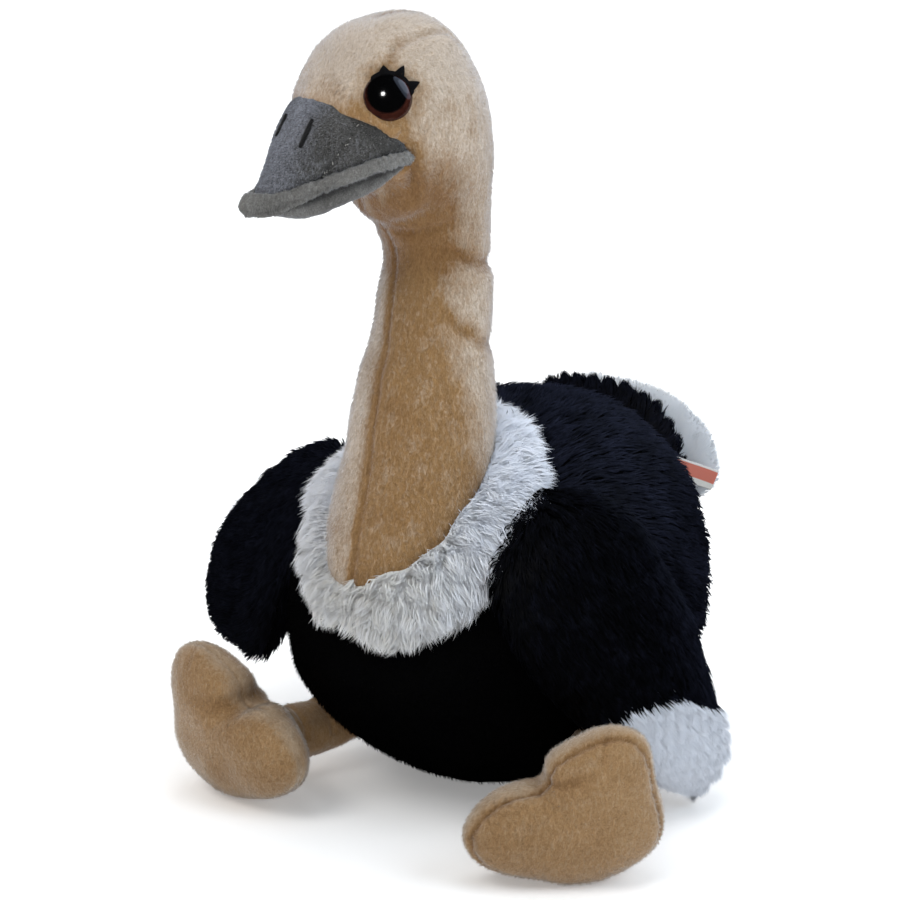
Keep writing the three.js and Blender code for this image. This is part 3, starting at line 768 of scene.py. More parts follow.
at = beige.points
level = at[..., 2]
quarter = at.shape[1] // 4
throat, nape = at[:196:10, 3 * quarter], at[:240:10, quarter]
BEIGE_LINES = [
    (both_sides(CROWN_DART), (0.4, 0.9), [(-0.5, 0, 2.4), (0.35, 3.4, 1.8)], (0.2, 1.3), (0.5, 3.2)),
    (both_sides(CHEEK_FOLD), None, [(0.8, 4.2, 2.4), (-1.2, 0, 1.8)], (0.2, 1.5), (0.5, 3)),
    (both_sides(JAW_FOLD), None, [(0.3, 3, 2), (-0.5, 0, 1.5)], (0.3, 1.3), (0, 1)),
    ([*both_sides(THROAT_SEAM), throat, nape], (0.6, 1.0), [], (0.45, 1.0), (1.2, 2.2)),
]  # lines, depth and width of a seam, bells, painted crease shade and its width, painted golden shade and its width

height = 0.35 * lumps(at, 16, 3) + 0.1 * lumps(at, 5, 4)
beige_crease_shade, golden_shade = np.zeros((2, *at.shape[:2]))
for lines, sewing, bells, (shade_in_crease, crease_wide), (flat, flat_wide) in BEIGE_LINES:
    for line in lines:
        distance = from_line(at, line)[0]
        if sewing:
            height += seam(at, line, *sewing)
        for high, place, wide in bells:
            height += high * bump(distance, place, wide)
        beige_crease_shade += shade_in_crease * bump(distance, 0, crease_wide)
        golden_shade += flat * bump(distance, 0, flat_wide)
print("lines sewn or folded into the beige plush:", sum(len(row[0]) for row in BEIGE_LINES))

# %% Folds and swellings of the stuffed neck
NECK_AXIS = np.array([-4, -35, 0])
NECK_BACK_LEFT = np.array([0.83, 0.56, 0])
NECK_FOLDS = [(193, 0.5, 1.3, 2.8), (173, 0.85, 1.0, 2.8)]  # height at the axis, fall per mm, depth, width
NECK_SWELLS = [(0.9, 1, 4, 16, 169, 8), (1.2, -1, 4, 14, 150, 6), (1.6, -1, 2, 12, 203, 9)]
# how high, back left (1) or front right (-1), from and to this far off the axis, height of its middle, width

sideways = (at - NECK_AXIS) @ NECK_BACK_LEFT
for middle, fall, deep, wide in NECK_FOLDS:
    distance = (level - middle + fall * sideways) / math.hypot(1, fall)
    reach = step(sideways, -4, 12) * step(at[..., 1], -56, -48)
    swelling = 0.45 * deep * bump(distance, -wide * 1.8, wide)
    height += reach * (swelling - deep * bump(distance, 0, wide * 0.7))
    # painted shade in each fold, and painted golden shade beside it
    beige_crease_shade += 0.25 * reach * bump(distance, 0, wide * 0.7)
    golden_shade += 0.6 * reach * bump(distance, 0, wide)
for high, way, near, full, middle, wide in NECK_SWELLS:
    height += high * step(way * sideways, near, full) * bump(level, middle, wide)
print("folds and swellings of the neck:", len(NECK_FOLDS), "and", len(NECK_SWELLS))

# %% The face: sockets of the eyes and the seam above the bill
for place in EYE_PLACES:
    distance = np.linalg.norm(at - place, axis=-1)
    height += 0.5 * bump(distance, 13, 3.5) - 0.5 * bump(distance, 0, 9)
    # painted golden shade round each eye socket
    golden_shade += 0.5 * bump(distance, 9, 3.5)

forward = forward_of(at)
seam_forward, _, seam_level = np.array(FACE_SEAM).T
over_seam = 0.82 * (level - np.interp(forward, seam_forward, seam_level))
at_face = step(forward, 25, 27) * step(level, 219, 222)
brow = 0.7 * bump(over_seam, 1.8, 1.5) * step(forward, 46, 36)
under_bill = 2.2 * (1 - step(over_seam, -0.6, 0.4))
height += at_face * (brow - under_bill)
# painted shade along the bill's seam with painted golden shade beside it, and painted shade under the head,
# less of it towards the back left
beige_crease_shade += 0.15 * at_face * bump(over_seam, 0, 2)
golden_shade += 0.8 * step(forward, 20, 28) * step(level, 214, 222) * bump(over_seam, 0, 5)
shade_under_head = step(level, 174, 190) * (1 - step(level, 212, 228))
beige_crease_shade += 0.8 * shade_under_head * (1 - 0.65 * step(sideways, 6, 16))
print("the face meets the bill between", seam_level.min(), "and", seam_level.max(), "mm")

# %% [markdown]
# ## Painted sheen on the beige plush
# Plush looks pale where its nap catches the light and golden where it lies in shade, and here that light
# and shade are painted into its colour. A vertex-paint brush could mark the pale places by hand. Here they
# are steps: the crown, the back left of the neck and a strip down its front right, each with soft edges,
# less the painted golden shade beside the seams. The skin and the tufts on it both read these marks.

# %% The beige skin and its marks
neck_foot = 1 - step(level, 105, 185)
limit = 1 + 14 * neck_foot
back_left = step(sideways, limit - 4, limit + 9)
limit = 15 + 10 * neck_foot
front_right = step(-sideways, limit - 3, limit + 3) * (0.6 + 0.35 * step(level, 95, 135))
# painted sheen: paler on the crown, the back left of the neck and a strip down its front right
crown = 0.8 * step(level, 194, 240) + 0.4 * step(level, 238, 262)
brushed = np.maximum(np.maximum(crown, 0.8 * back_left), front_right) - golden_shade + 0.2 * lumps(at, 9, 5)
beige_marks = {"crease": np.clip(beige_crease_shade, 0, 1), "brushed": np.clip(brushed, 0, 1)}
beige = beige.raised(height)
piece = sewn("neck_and_head", beige, BEIGE, ("neck_lower", "neck_upper", "head"), beige_marks)
print("beige skin:", len(piece.data.polygons), "faces")

# %% [markdown]
# ## The bill
# The bill is grey velour with a pile under a millimetre long. The upper half is a wedge with a seam on each
# side where its front and cheek panels join. A rolled lip runs round its lower edge and turns up into a
# small knob at the tip, and the lower half tucks under it. All three are bags on ribs: those of the halves
# stand upright across the bill, and those of the lip follow its edge from one corner of the mouth to the
# other.

# %% Ribs of the bill
VELOUR = 0.6  # how far the skin lies under the tips of the velour
UPPER = [(22, 218, 231, 24), (28, 217, 235, 27), (36, 216, 242, 26), (44, 214, 243, 21.5),
         (51, 211, 240, 15.5), (58, 209, 230, 10.5), (64, 208, 219, 6.5), (68, 208, 213, 4)]
LOWER = [(20, 219, 226, 21), (28, 218, 226, 26), (36, 212, 222, 24.5), (45, 207, 218, 19),
         (54, 203.5, 213, 13), (61, 204.5, 210, 8.5), (65, 206, 208.5, 5.5)]
LIP_SIDE = [(26, 26.5, 224.5, 2.5), (36, 25, 223, 2.7), (44, 19.5, 219.5, 2.8), (51, 14, 216, 2.9),
            (58, 9.2, 212.4, 3.3), (65, 5.2, 209.6, 3.9)]
LIP_KNOB = (70.5, 0, 209.3, 4.3)
LIP = LIP_SIDE + [LIP_KNOB] + [(forward, -out, z, half) for forward, out, z, half in reversed(LIP_SIDE)]


def bill_rib(row):
    """A rib across the bill: forward, lowest, highest, half width."""
    forward, low, high, half = row
    return on_head([(forward, 0, low)])[0], on_head([(forward, 0, high)])[0], half, HEAD_LEFT


def lip_rib(row):
    """A rib of the lip: forward, out, height, half the roll's height. Its side faces away from the bill."""
    forward, out, z, half = row
    side = HEAD_AHEAD * (forward - 30) + HEAD_LEFT * 1.6 * out
    return on_head([(forward, out, z - half)])[0], on_head([(forward, out, z + half)])[0], 0.85 * half, side


print("ribs of the upper bill, the lower bill and the lip:", len(UPPER), len(LOWER), len(LIP))

# %% Upper bill, lower bill and lip
PANEL_SEAM = [(42.7, 20, 235), (46, 18.6, 228.5), (49.7, 15, 222), (51.8, 12, 217)]
bill_upper = ribbed([bill_rib(row) for row in UPPER], 130, 128, (0.2, 0.1), 0.85).raised(-VELOUR)
at = bill_upper.points
height = 0.25 * lumps(at, 11, 6) + 0.08 * lumps(at, 3, 7)
# painted shade over the cheek panel and in the panel seams, and painted sheen along the ridge
cheek_panel = step(43 - forward_of(at) + 0.7 * (at[..., 2] - 235), -1, 1)
bill_crease_shade = 0.35 * cheek_panel
for line in both_sides(PANEL_SEAM):
    height += seam(at, line, 0.6, 0.9, stitch=2.4)
    bill_crease_shade += 0.7 * bump(from_line(at, line)[0], 0, 0.6)
ridge_sheen = 1 - step(np.abs(left_of(at)), 4, 15)
bill_marks = {"crease": np.clip(bill_crease_shade, 0, 1), "brushed": 0.6 * ridge_sheen}
bill_upper = bill_upper.raised(height)

bill_lower = ribbed([bill_rib(row) for row in LOWER], 110, 96, (0.2, 0.12), 0.8).raised(-VELOUR)
at = bill_lower.points
bill_lower = bill_lower.raised(0.25 * lumps(at, 9, 8) + 0.12 * lumps(at, 3, 11))

LIP_SIDES = 28
bill_lip = ribbed([lip_rib(row) for row in LIP], 260, LIP_SIDES, (0.03, 0.03)).raised(-0.4)
at = bill_lip.points
# the lip's underside is dented, and painted shade darkens it under the roll
under_roll = bump(np.arange(LIP_SIDES) * 360 / LIP_SIDES, 322, 24) * step(forward_of(at), 46, 58)
lip_marks = {"crease": 0.3 * under_roll}
bill_lip = bill_lip.raised(0.45 * lumps(at, 5, 9) + 0.35 * lumps(at, 2.2, 10) - 0.35 * under_roll)

sewn("bill_upper_skin", bill_upper, GREY, ("bill_upper",), bill_marks)
sewn("bill_lower_skin", bill_lower, LIGHTENED_JAW_VELOUR, ("bill_lower",))
sewn("bill_lip_skin", bill_lip, LIP_VELOUR, ("bill_lip",), lip_marks)
print("the bill is three skins")

# %% [markdown]
# ## Thread
# Stitches are short tubes of thread. A bevelled curve for each would do, but hundreds of objects are slow
# and curves have to be turned into meshes in the end. So all the stitches of a seam go into one mesh: the
# paths are an array of (stitch, point, 3), and every ring of every tube is worked out at once.

# %% Tubes along many short paths
def threads(name, paths, radius, sides=6):
    """Closed tubes along paths of (stitch, point, 3), in mm. A ring is the point + radius * (one side
    direction * cos + the other * sin), and the radius falls to a third at both ends."""
    paths = np.asarray(paths, float)
    count, length = paths.shape[:2]
    ahead = unit(np.gradient(paths, axis=1))
    left = unit(np.cross(ahead, ahead + [0.31, 0.17, 0.93]))
    up = np.cross(ahead, left)
    share = np.linspace(0, 1, length)
    thick = radius * (0.33 + 0.67 * np.sqrt(np.clip(1 - np.abs(2 * share - 1) ** 6, 0, 1)))[:, None, None]
    angle = np.arange(sides) * 2 * math.pi / sides
    ring = left[..., None, :] * np.cos(angle)[:, None] + up[..., None, :] * np.sin(angle)[:, None]
    places = paths[..., None, :] + ring * thick
    row, column = np.meshgrid(np.arange(length - 1) * sides, np.arange(sides), indexing="ij")
    after = (column + 1) % sides
    squares = np.stack([row + column, row + after, row + sides + after, row + sides + column], -1)
    squares = squares.reshape(-1, 4)
    first, last = np.arange(sides)[::-1], (length - 1) * sides + np.arange(sides)
    start = (np.arange(count) * length * sides)[:, None]
    corners = np.hstack([start + squares.ravel(), start + first, start + last]).ravel()
    sizes = np.tile([4] * len(squares) + [sides, sides], count)
    return new_mesh(name, places.reshape(-1, 3), corners, sizes)


def on_skin(skin, places):
    """The grid points nearest to some places, with their normals."""
    flat, normals = skin.points.reshape(-1, 3), skin.normals.reshape(-1, 3)
    nearest = [np.argmin(((flat - place) ** 2).sum(-1)) for place in places]
    return flat[nearest], normals[nearest]


def thread_finish(name, color, gloss):
    """Twisted thread: fine slanting bumps, and painted shade that makes it darker where the twist sinks in.
    """
    recipe = Recipe(name)
    twist = recipe.noise(recipe.places((1, 1, 2.5)), 0.25, 2)
    # painted shade: darker in the grooves of the twist
    shade = recipe.blend(twist, shade_of(*[0.6 * value for value in color]), shade_of(*color))
    return recipe.finish(Base_Color=shade, Roughness=0.6, Specular_IOR_Level=gloss, Sheen_Weight=0.2,
                         Normal=recipe.bumps(twist, 0.12))


BLACK_THREAD = thread_finish("black_thread", (12, 12, 13), 0.15)
GREY_THREAD = thread_finish("grey_thread", (205, 203, 196), 0.4)
print("two threads, black for the nostrils and grey for the seam")

# %% [markdown]
# ## Nostrils and seam stitches
# The nostrils are embroidered: black threads laid side by side along a slit, drawn together at both ends.
# The panel seam of the bill is closed by hand with short grey stitches that slant at random and show only
# as small dashes. A stitch painted on would lie flat, but these stand up a little and catch the light.

# %% Embroidery on the bill
NOSTRILS = {"left": [(52.5, 9, 236.5), (56.6, 8.4, 227.5)],
            "right": [(53.6, -5.5, 235.5), (56.6, -5.2, 229)]}
NOSTRIL_POINTS, NOSTRIL_THREADS, NOSTRIL_HALF = 24, 7, 1.05
for side, line in NOSTRILS.items():
    ends, _ = on_skin(bill_upper, on_head(line))
    middle = along(ends, np.linspace(0, 1, NOSTRIL_POINTS))
    _, normal = on_skin(bill_upper, middle)
    across = unit(np.cross(np.gradient(middle, axis=0), normal))
    half = NOSTRIL_HALF * np.sin(math.pi * np.linspace(0.2, 0.8, NOSTRIL_POINTS))[:, None]
    paths = [middle + across * half * share + normal * (0.5 - 0.5 * share**2)
             for share in np.linspace(-1, 1, NOSTRIL_THREADS)]
    placed(threads(f"nostril_{side}", np.stack(paths, 1), 0.28), BLACK_THREAD)

SEAM_STITCHES = 11
stitch_rng = np.random.default_rng(7)
stitches = []
for line in both_sides(PANEL_SEAM):
    middle, normal = on_skin(bill_upper, along(line, np.sort(stitch_rng.random(SEAM_STITCHES))))
    ahead, behind = (along(line, np.linspace(low, low + 0.9, SEAM_STITCHES)) for low in (0.1, 0))
    way = unit(ahead - behind)
    slant = unit(way + stitch_rng.uniform(-0.9, 0.9, (SEAM_STITCHES, 1)) * np.cross(normal, way))
    half = stitch_rng.uniform(0.25, 0.7, (SEAM_STITCHES, 1))
    stitches += [np.stack([middle + slant * half * share + normal * (0.4 - 0.5 * share**2)
                           for share in np.linspace(-1, 1, 5)], 1)]
placed(threads("bill_stitches", np.concatenate(stitches), 0.15), GREY_THREAD)
print("nostrils and", 2 * SEAM_STITCHES, "seam stitches")

# %% [markdown]
# ## The eyes
# Each eye is a plastic dome on a stalk, pressed through a felt washer. The dome is an ellipsoid, square to
# the egg of the head, and most of it is one round black pupil with a dark brown ring. A scaled sphere would
# do, but the same grid as the bags' also carries the number that tells the pupil from the ring. The lashes
# are cut from the washer's own black felt: its edge reaches out to a point at each lash.

# %% Finishes of the eye and the felt
def eye_finish():
    """A black pupil in a dark brown ring of glossy plastic. `iris` is 0 at the pupil's middle."""
    recipe = Recipe("eye_plastic")
    iris = recipe.value("iris")
    streaks = recipe.noise(recipe.places(), 1.2, 3)
    brown = recipe.blend(streaks, shade_of(30, 12, 9), shade_of(64, 32, 24))
    color = recipe.blend(recipe.level(iris, 0.76, 0.84), shade_of(3, 3, 4), brown)
    wear = recipe.level(recipe.noise(recipe.places(), 0.8, 5), 0.5, 0.8)
    return recipe.finish(Base_Color=color, Roughness=wear * 0.05 + 0.1, Specular_IOR_Level=0.35)


def felt_finish():
    """Black felt: matted hair, seen as fine bumps and a grey bloom."""
    recipe = Recipe("black_felt")
    matted = recipe.noise(recipe.places(), 0.35, 5, 0.7)
    color = recipe.blend(matted, shade_of(3, 3, 4), shade_of(18, 17, 19))
    return recipe.finish(Base_Color=color, Roughness=0.95, Specular_IOR_Level=0.05, Sheen_Weight=0.02,
                         Normal=recipe.bumps(matted, 0.25))


EYE_PLASTIC, FELT = eye_finish(), felt_finish()
print("glossy plastic and matt felt")

# %% Domes and lashes
PUPIL = {"front": 0.05, "up": 0.16}  # how far its middle is off the dome's, in radii
PRESSED = {"left": 0.0, "right": 1.3}  # how much deeper each eye is pressed into the head
LASHES = [(25, 11.3), (62, 11.3), (97, 10.2)]  # degrees above the nape's side, reach from the eye's middle
LASH_WIDE = 11  # degrees from a lash's middle to its edge
WASHER = EYE["radius"] + 0.5
FELT_INNER, FELT_HIDDEN = 5, 5.5  # the strip's inner edge, and its outer edge where the dome covers it


def eye_frame(at):
    """An eye's own directions: towards the nape, up, and out of the head."""
    offset = at - on_head([(HEAD_EGG["forward"], 0, HEAD_EGG["height"])])[0]
    out = HEAD_AHEAD * (offset @ HEAD_AHEAD) / HEAD_EGG["long"] ** 2
    out = out + HEAD_LEFT * (offset @ HEAD_LEFT) / HEAD_EGG["wide"] ** 2
    out = unit(out + np.array([0, 0, offset[2] / HEAD_EGG["tall"] ** 2]))
    up = unit(np.array([0, 0, 1.0]) - out * out[2])
    return np.stack([np.cross(up, out), up, out])


def eye_dome(middle, back, up, out):
    """The dome middle + radius * (back * sin(turn) cos(angle) + up * sin(turn) sin(angle)) + out * dome *
    cos(turn), sunk in the head, with the number `iris`: each point's distance from the pupil's middle."""
    turn = np.linspace(POLE, 1 - POLE, 44)[:, None] * math.pi
    angle = np.arange(72)[None, :] * 2 * math.pi / 72
    across, tall = np.sin(turn) * np.cos(angle), np.sin(turn) * np.sin(angle)
    flat = across[..., None] * back + tall[..., None] * up
    dome = Skin(middle + EYE["radius"] * flat + out * (EYE["dome"] * np.cos(turn)[..., None] - EYE["sunk"]))
    iris = np.hypot(across + PUPIL["front"], tall - PUPIL["up"])
    return dome, np.where(turn < math.pi / 2, iris, 1)


def lash_felt(sign, middle, back, up, out):
    """The washer's edge as a flat strip, 0.9 mm thick, with a point at each lash. It is bent to the egg of
    the head, reach^2 / (2 * tall), and lifts off it by a tenth of its reach past 8 mm."""
    degrees = np.linspace(-10, 150, 180)
    edge = WASHER + sum((reach - WASHER) * np.clip(1 - np.abs(degrees - place) / LASH_WIDE, 0, 1)
                        for place, reach in LASHES)
    shown = step(degrees, -10, 12) * (1 - step(degrees, 125, 150))
    edge = edge - (WASHER - FELT_HIDDEN) * (1 - shown)
    turn, share = np.radians(degrees)[:, None], np.array([0.0, 1, 1, 0])
    reach = FELT_INNER + (edge - FELT_INNER)[:, None] * share
    bend = -reach**2 / (2 * HEAD_EGG["tall"]) + 1.1 + np.array([-0.9, -0.9, 0, 0]) + 0.1 * (reach - 8)
    flat = sign * np.cos(turn)[..., None] * back + np.sin(turn)[..., None] * up
    return Skin(middle + reach[..., None] * flat + bend[..., None] * out)


for side, sign, place in zip(("left", "right"), (1, -1), EYE_PLACES):
    back, up, out = eye_frame(place)
    middle = place - out * PRESSED[side]
    dome, iris = eye_dome(middle, back, up, out)
    placed(skin_mesh(f"eye_dome_{side}", dome, {"iris": iris}), EYE_PLASTIC, (f"eye_{side}",))
    felt = lash_felt(sign, middle, back, up, out)
    placed(skin_mesh(f"eye_felt_{side}", felt), FELT, (f"lashes_{side}",))
print("eyes", 2 * EYE["radius"], "mm across, with", len(LASHES), "lashes each")

# %% [markdown]
# ## The body
# The trunk is an egg of black plush that lies along the toy. It is a stack of ellipses, a little squarer
# than true ones because the stuffing presses into the corners. Its underside is pressed flat where it sits.
# The belly is short plush with a seam down its middle, and the long pile begins above a line round the
# flanks. Two objects could share that line, but one skin with a share of long pile has no gap to hide.

# %% The trunk
BODY = {"middle": -2, "half": 65, "front": -85, "back": 91}
TRUNK = [
    (0.0, 0.62, 34, 74), (0.1, 0.72, 23, 92), (0.23, 0.87, 9, 112), (0.4, 0.98, -5, 129),
    (0.58, 1.0, -6, 132), (0.75, 0.92, -1, 127), (0.9, 0.72, 14, 114), (1.0, 0.5, 34, 98),
]  # share of the length, share of the half width, lowest, highest
BELLY_PILE, LONG_PILE = 1.2, 4.5  # how far the skin lies under the tips
SPARE = 0.6  # room left between the skin and the seat


def trunk_rib(row):
    """A rib across the body: share of the length, share of the half width, lowest, highest."""
    share, width, low, high = row
    y = BODY["front"] + share * (BODY["back"] - BODY["front"])
    return (BODY["middle"], y, low), (BODY["middle"], y, high), width * BODY["half"], (1, 0, 0)


trunk = ribbed([trunk_rib(row) for row in TRUNK], 130, 128, (0.3, 0.3), 0.94)
trunk.points[..., 2] = np.maximum(trunk.points[..., 2], 0)
back_fur = step(trunk.points[..., 2] - 62 + 0.6 * (trunk.points[..., 1] + 18), -7, 9)
belly_fur = 1 - back_fur
inset = BELLY_PILE + (LONG_PILE - BELLY_PILE) * back_fur + SPARE
stuffing = 0.9 * lumps(trunk.points, 34, 20) + 0.3 * lumps(trunk.points, 12, 21)
trunk = Skin(trunk.points).raised(stuffing - inset)
belly_seam = trunk.points[9:104:6, 3 * trunk.points.shape[1] // 4]
trunk = trunk.raised(seam(trunk.points, belly_seam, 0.8, 1.6, stitch=6))
trunk.points[..., 2] = np.maximum(trunk.points[..., 2], SPARE)
# painted sheen: the long black pile on the back is painted paler and bluer, unevenly
back_painted_sheen = {"brushed": np.clip(0.5 + 0.35 * lumps(trunk.points, 16, 22), 0, 1) * back_fur}
sewn("trunk_skin", trunk, BLACK, ("trunk",))
print("trunk: belly pile on", round(float(belly_fur.mean()) * 100), "% of it")

# %% [markdown]
# ## The ruff
# The ruff is a fluffy cushion that is sewn on a slant round the foot of the neck, low at the breast and high
# behind. A torus would leave a hole that the neck has to fill exactly. A pillow that the neck stands in
# closes round it by itself, and the fluff hides where they meet.

# %% The ruff's skin
RUFF = {"at": (-1, -49, 98), "across": 43, "along": 52, "tilt": math.radians(41), "thick": 16}
RUFF_FUR = 5.0
BIB_TIP = (0, -81, 86)  # where the ruff closes over the foot of the neck
ruff_side = np.array([0, math.cos(RUFF["tilt"]), math.sin(RUFF["tilt"])])


def ruff_outline(angle):
    """An ellipse, 1 / hypot(cos / across, sin / along), with 6.5 mm less at the breast and 4 mm more at the
    right shoulder."""
    oval = 1 / np.hypot(np.cos(angle) / RUFF["across"], np.sin(angle) / RUFF["along"])
    return oval - 6.5 * bump(angle, math.radians(262), 1.0) + 4 * bump(angle, math.radians(165), 0.3)


ruff = pillow(RUFF["at"], (1, 0, 0), ruff_side, ruff_outline, RUFF["thick"], 90, 120).raised(-RUFF_FUR)
from_tip = np.linalg.norm(ruff.points - BIB_TIP, axis=-1)
collar = bump(beside(beige, ruff.points.reshape(-1, 3)).reshape(from_tip.shape), 0, 6)
ruff = ruff.raised(0.8 * lumps(ruff.points, 15, 30) + 3.5 * bump(from_tip, 0, 20) + 1.5 * collar)
# painted sheen: the ruff is painted paler and bluer all over but at the front by the bib tip
ruff_marks = {"brushed": 1 - 0.9 * bump(from_tip, 0, 36)}
sewn("ruff_skin", ruff, CREAM, ("ruff",), ruff_marks)
print("the ruff is", round(float(np.ptp(ruff.points[..., 0]))), "mm wide without its fluff")

# %% [markdown]
# ## The wings
# The wings are flat bags: ribs from the front edge to the back edge, from the shoulder to the tip. Black
# pile covers them down to a seam, and white pile from there on. The bag is shaped whole and then cut at the
# ring nearest to the seam, so the two skins meet exactly.

# %% The wings' skins
WINGS = {
    "left": [((30, -46, 113), (44, -26, 118), 5), ((36, -62, 98), (57, -16, 108), 9),
             ((42, -69, 82), (68, -8, 88), 11), ((52, -66, 62), (76, 0, 66), 12),
             ((62, -52, 42), (80, 5, 44), 12), ((70, -34, 23), (82, 13, 25), 11),
             ((74, -16, 5), (82, 14, 5), 9)],
    "right": [((-44, -36, 100), (-44, -14, 117), 5), ((-56, -46, 72), (-62, -4, 110), 9),
              ((-71, -43, 37), (-84, 2, 102), 11), ((-97, -30, 34), (-101, 8, 88), 12),
              ((-112, -13, 33), (-115, 16, 76), 12), ((-119, 8, 38), (-122, 28, 68), 10.5),
              ((-124, 30, 44), (-126, 43, 61), 8)],
}  # front edge, back edge and half thickness of each rib, from the shoulder to the tip
WING_SEAM = {"left": ((78, -12, 40), (0, -0.2, -0.98)), "right": ((-115, 4, 57), (-0.5, 0.84, -0.2))}
WING_ARCH = {"left": (-22, 6), "right": (0, 0)}  # where along y the seam arches up, and by how much
WING_DROP = {"left": 14, "right": 0}  # how much lower the seam is on the front edge
WING_PAINTED_SHEEN = {"left": (0.0, 0.45), "right": (0.35, 0.0)}  # how much painted sheen the pile gets, and how much more behind
WING_FUR = 3.5


def wing_skin(rows):
    """The bag of a wing: each rib's thin side is square to its edge line and to the line of the middles."""
    middles = [(np.array(front, float) + back) / 2 for front, back, _ in rows]
    ribs = []
    for index, (front, back, half) in enumerate(rows):
        length = middles[min(index + 1, len(rows) - 1)] - middles[max(index - 1, 0)]
        ribs.append((front, back, half, unit(np.cross(length, np.subtract(back, front)))))
    outer = ribbed(ribs, 170, 120, (0.25, 0.15))
    return outer.raised(-WING_FUR + 0.5 * lumps(outer.points, 18, 31))


def beyond_wing_seam(side, points):
    """How far points are past the seam between black and white, in mm: the distance past a plane, with an
    arch and a drop added."""
    place, way = WING_SEAM[side]
    centre, arch = WING_ARCH[side]
    past = (points - place) @ unit(np.array(way, float)) + arch * bump(points[..., 1], centre, 16)
    return past - WING_DROP[side] * (1 - step(points[..., 1], -54, -41))


wings, past_seam, wing_marks = {}, {}, {}
for side in ("left", "right"):
    wing = wing_skin(WINGS[side])
    past = beyond_wing_seam(side, wing.points)
    wing = wing.raised(-0.7 * bump(past, 0, 1.2))
    cut = int(np.argmin(np.abs(past.mean(1))))
    # painted sheen on the black pile: paler and bluer, more of it towards the back
    even, behind = WING_PAINTED_SHEEN[side]
    wing_painted_sheen = even + behind * step(wing.points[..., 1], -32, 0)
    wings[side], past_seam[side], wing_marks[side] = wing, past, {"brushed": wing_painted_sheen}
    black, white = Skin(wing.points[:cut + 1]), Skin(wing.points[cut:])
    sewn(f"wing_{side}_skin", black, SILK, (f"wing_{side}",), {"brushed": wing_painted_sheen[:cut + 1]})
    sewn(f"wing_end_{side}_skin", white, WHITE, (f"wing_tip_{side}",))
    print(f"the {side} wing is cut at ring", cut)

# %% [markdown]
# ## The tail
# The tail is two fans, one inside the other: the black one in front, the white one behind it and round its
# edge. Both are pillows on the same outline, so one function makes them from a few numbers.

# %% The tail's two fans
TAIL = {"at": np.array([-4.0, 80, 90]), "wide": 44, "up": 33, "down": 20, "thick": 9}
TAIL_LEAN = math.radians(9)
TAIL_FUR = 3.5
tail_side = np.array([0, math.sin(TAIL_LEAN), math.cos(TAIL_LEAN)])


def tail_fan(narrow, low, left, ahead):
    """A fan as wide as `wide` and taller above its middle than below, with a shoulder at its right. It is
    `narrow` less wide and `low` less tall, and it is moved by `left` and `ahead`."""
    def outline(angle):
        tall = np.where(np.sin(angle) > 0, TAIL["up"], TAIL["down"]) - low
        shoulder = 4 * bump(angle, math.radians(132), 0.4)
        return 1 / np.hypot(np.cos(angle) / (TAIL["wide"] - narrow), np.sin(angle) / tall) + shoulder

    fan = pillow(TAIL["at"] + [left, -ahead, 0], (1, 0, 0), tail_side, outline, TAIL["thick"], 60, 90)
    return fan.raised(-TAIL_FUR + 0.4 * lumps(fan.points, 12, 32))


tails = {"black": tail_fan(8, 2.0, -1, 8), "white": tail_fan(2.5, 1.5, 4, 0)}
sewn("tail_black_skin", tails["black"], SILK, ("tail",))
sewn("tail_white_skin", tails["white"], LIGHTENED_WHITE, ("tail_tip",))
print("the black fan stands in front of the white one")

# %% [markdown]
# ## Legs and feet
# The legs are soft tubes, and each foot is a padded sole with two toes, sewn from a front and a back panel.
# The outline of the sole is a circle with a hump for each toe, a flatter one for the heel and a notch
# between the toes. Metaballs could blend such humps, but a formula keeps the edge sharp enough to be a seam.
# The seam runs round the edge, and a fold runs in from the notch.

# %% The outline of a sole, and where the feet stand
LEG_RADIUS, FOOT_THICK, FOOT_PILE = 10.5, 14, 1.1
SOLE_SIDES, SOLE_PUCKERS = 170, 34
FEET = {
    "left": {"at": (80, -79, 22.8), "sign": 1, "yaw": 40, "pitch": 8, "roll": 0, "seam": 4.5, "deep": 0.8,
             "whole": True, "fold": [(136, 1.0), (126, 0.9), (83, 0.6)], "fold_deep": 0.8, "fold_wide": 1.6},
    "right": {"at": (-56, -79.5, 23.4), "sign": -1, "yaw": -15, "pitch": 8, "roll": 8, "seam": 0,
              "deep": 0.4, "whole": False, "fold": [(136, 1.0), (108, 0.6), (80, 0.54), (55, 0.68)],
              "fold_deep": 1.2, "fold_wide": 2.8},
}  # `seam` is how far the rim's seam is off the middle plane, `fold` its places: degrees, share of the reach
LEGS = {"left": [(48, -16, 24), (66, -44, 20), (76, -70, 23)],
        "right": [(-34, -16, 24), (-50, -44, 15), (-55, -72, 20)]}


def sole_edge(angle):
    """24.5 mm, plus 5 at the heel, 10.5 at the upper toe and 13 at the inner toe, less 6.5 at the notch."""
    def hump(at, width):
        away = np.abs((np.degrees(angle) - at + 540) % 360 - 180)
        return np.exp(-((away / width) ** 2))

    return 24.5 + 5 * hump(345, 35) + 10.5 * hump(60, 30) + 13 * hump(194, 32) - 6.5 * hump(136, 18)


print("a sole reaches", round(float(sole_edge(np.radians(60))), 1), "mm to its upper toe")

